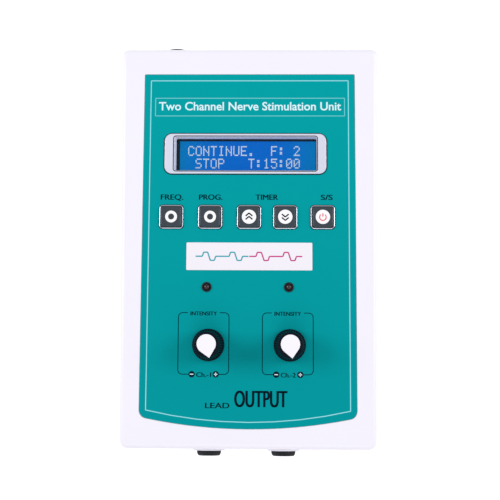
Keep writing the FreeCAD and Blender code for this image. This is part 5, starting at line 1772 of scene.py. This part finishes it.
@dataclass
class Studio:
    """The plain floor, the soft lights and the camera."""

    shop: Workshop
    camera_place: tuple[float, float, float] = (8.06, -48.26, 417.14)      # in the panel frame
    camera_roll: float = 0.3
    lens: float = 64.94
    shift: Point = (0.0026, -0.0103)
    sensor: float = 36.0
    near: float = 0.01
    floor_size: float = 6.0
    floor_colour: Colour = (0.93, 0.93, 0.935)
    floor_roughness: float = 0.9
    floor_glow: float = 0.42
    room_light: float = 0.5
    softboxes: tuple[tuple[str, tuple[float, float, float], float, float], ...] = (    # place, size, power
        ("left_softbox", (-0.75, 0.12, 0.62), 0.45, 3.6),
        ("right_softbox", (0.75, 0.12, 0.62), 0.45, 3.6),
        ("front_softbox", (0.0, -0.9, 1.0), 0.7, 2.6))

    def build(self) -> None:
        """Set up the stage."""
        self.floor()
        self.lights()
        self.camera()

    def floor(self) -> None:
        """Lay a plain pale floor."""
        shape = bmesh.new()
        bmesh.ops.create_grid(shape, x_segments=1, y_segments=1, size=self.floor_size)
        mesh = bpy.data.meshes.new("studio_floor")
        shape.to_mesh(mesh)
        shape.free()
        recipe = Recipe("studio_floor")
        recipe.set(Base_Color=self.floor_colour, Roughness=self.floor_roughness,
                   Emission_Color=self.floor_colour, Emission_Strength=self.floor_glow)
        mesh.materials.append(recipe.material)
        floor = bpy.data.objects.new("studio_floor", mesh)
        bpy.context.scene.collection.objects.link(floor)

    def lights(self) -> None:
        """Hang a soft box on either side and one over the user's end, in an even white room."""
        scene = bpy.context.scene
        scene.view_settings.view_transform = "Standard"
        scene.world = bpy.data.worlds.new("studio_room")
        scene.world.use_nodes = True
        room = scene.world.node_tree.nodes["Background"]
        room.inputs["Color"].default_value = (1, 1, 1, 1)
        room.inputs["Strength"].default_value = self.room_light
        for name, place, size, power in self.softboxes:
            lamp = bpy.data.lights.new(name, "AREA")
            lamp.shape, lamp.size, lamp.energy = "SQUARE", size, power
            holder = bpy.data.objects.new(name, lamp)
            holder.location = place
            holder.rotation_euler = (-Vector(place)).to_track_quat("-Z", "Y").to_euler()
            scene.collection.objects.link(holder)

    def camera(self) -> None:
        """Look down on the panel, a little from the user's side."""
        lens = bpy.data.cameras.new("camera")
        lens.lens, lens.sensor_width = self.lens, self.sensor
        lens.shift_x, lens.shift_y = self.shift
        lens.clip_start = self.near
        holder = bpy.data.objects.new("camera", lens)
        place = self.shop.panel @ Vector(self.camera_place)
        backwards = (place - self.shop.panel.translation).normalized()
        right = self.shop.panel.col[1].xyz.cross(backwards).normalized()
        stance = Matrix((right, backwards.cross(right), backwards)).transposed().to_4x4()
        roll = Matrix.Rotation(math.radians(self.camera_roll), 4, "Z")
        holder.matrix_world = Matrix.Translation(place) @ stance @ roll
        bpy.context.scene.collection.objects.link(holder)
        bpy.context.scene.camera = holder


KNOB_ROW = -46.4                   # panel y of the knobs' axes
ASSEMBLIES = (Studio, Housing, PrintedPanel, Display, KeyRow, ChannelControls, LeadSockets, SupplyEnd,
              Electronics)


def main() -> None:
    """Build every sub-assembly in order."""
    logging.basicConfig(level=logging.INFO, format="%(name)s: %(message)s")
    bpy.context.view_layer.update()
    shop = Workshop(frame, KNOB_ROW)
    for assembly in ASSEMBLIES:
        assembly(shop).build()
        LOG.info("%s done", assembly.__name__)


if __name__ == "__main__":
    main()
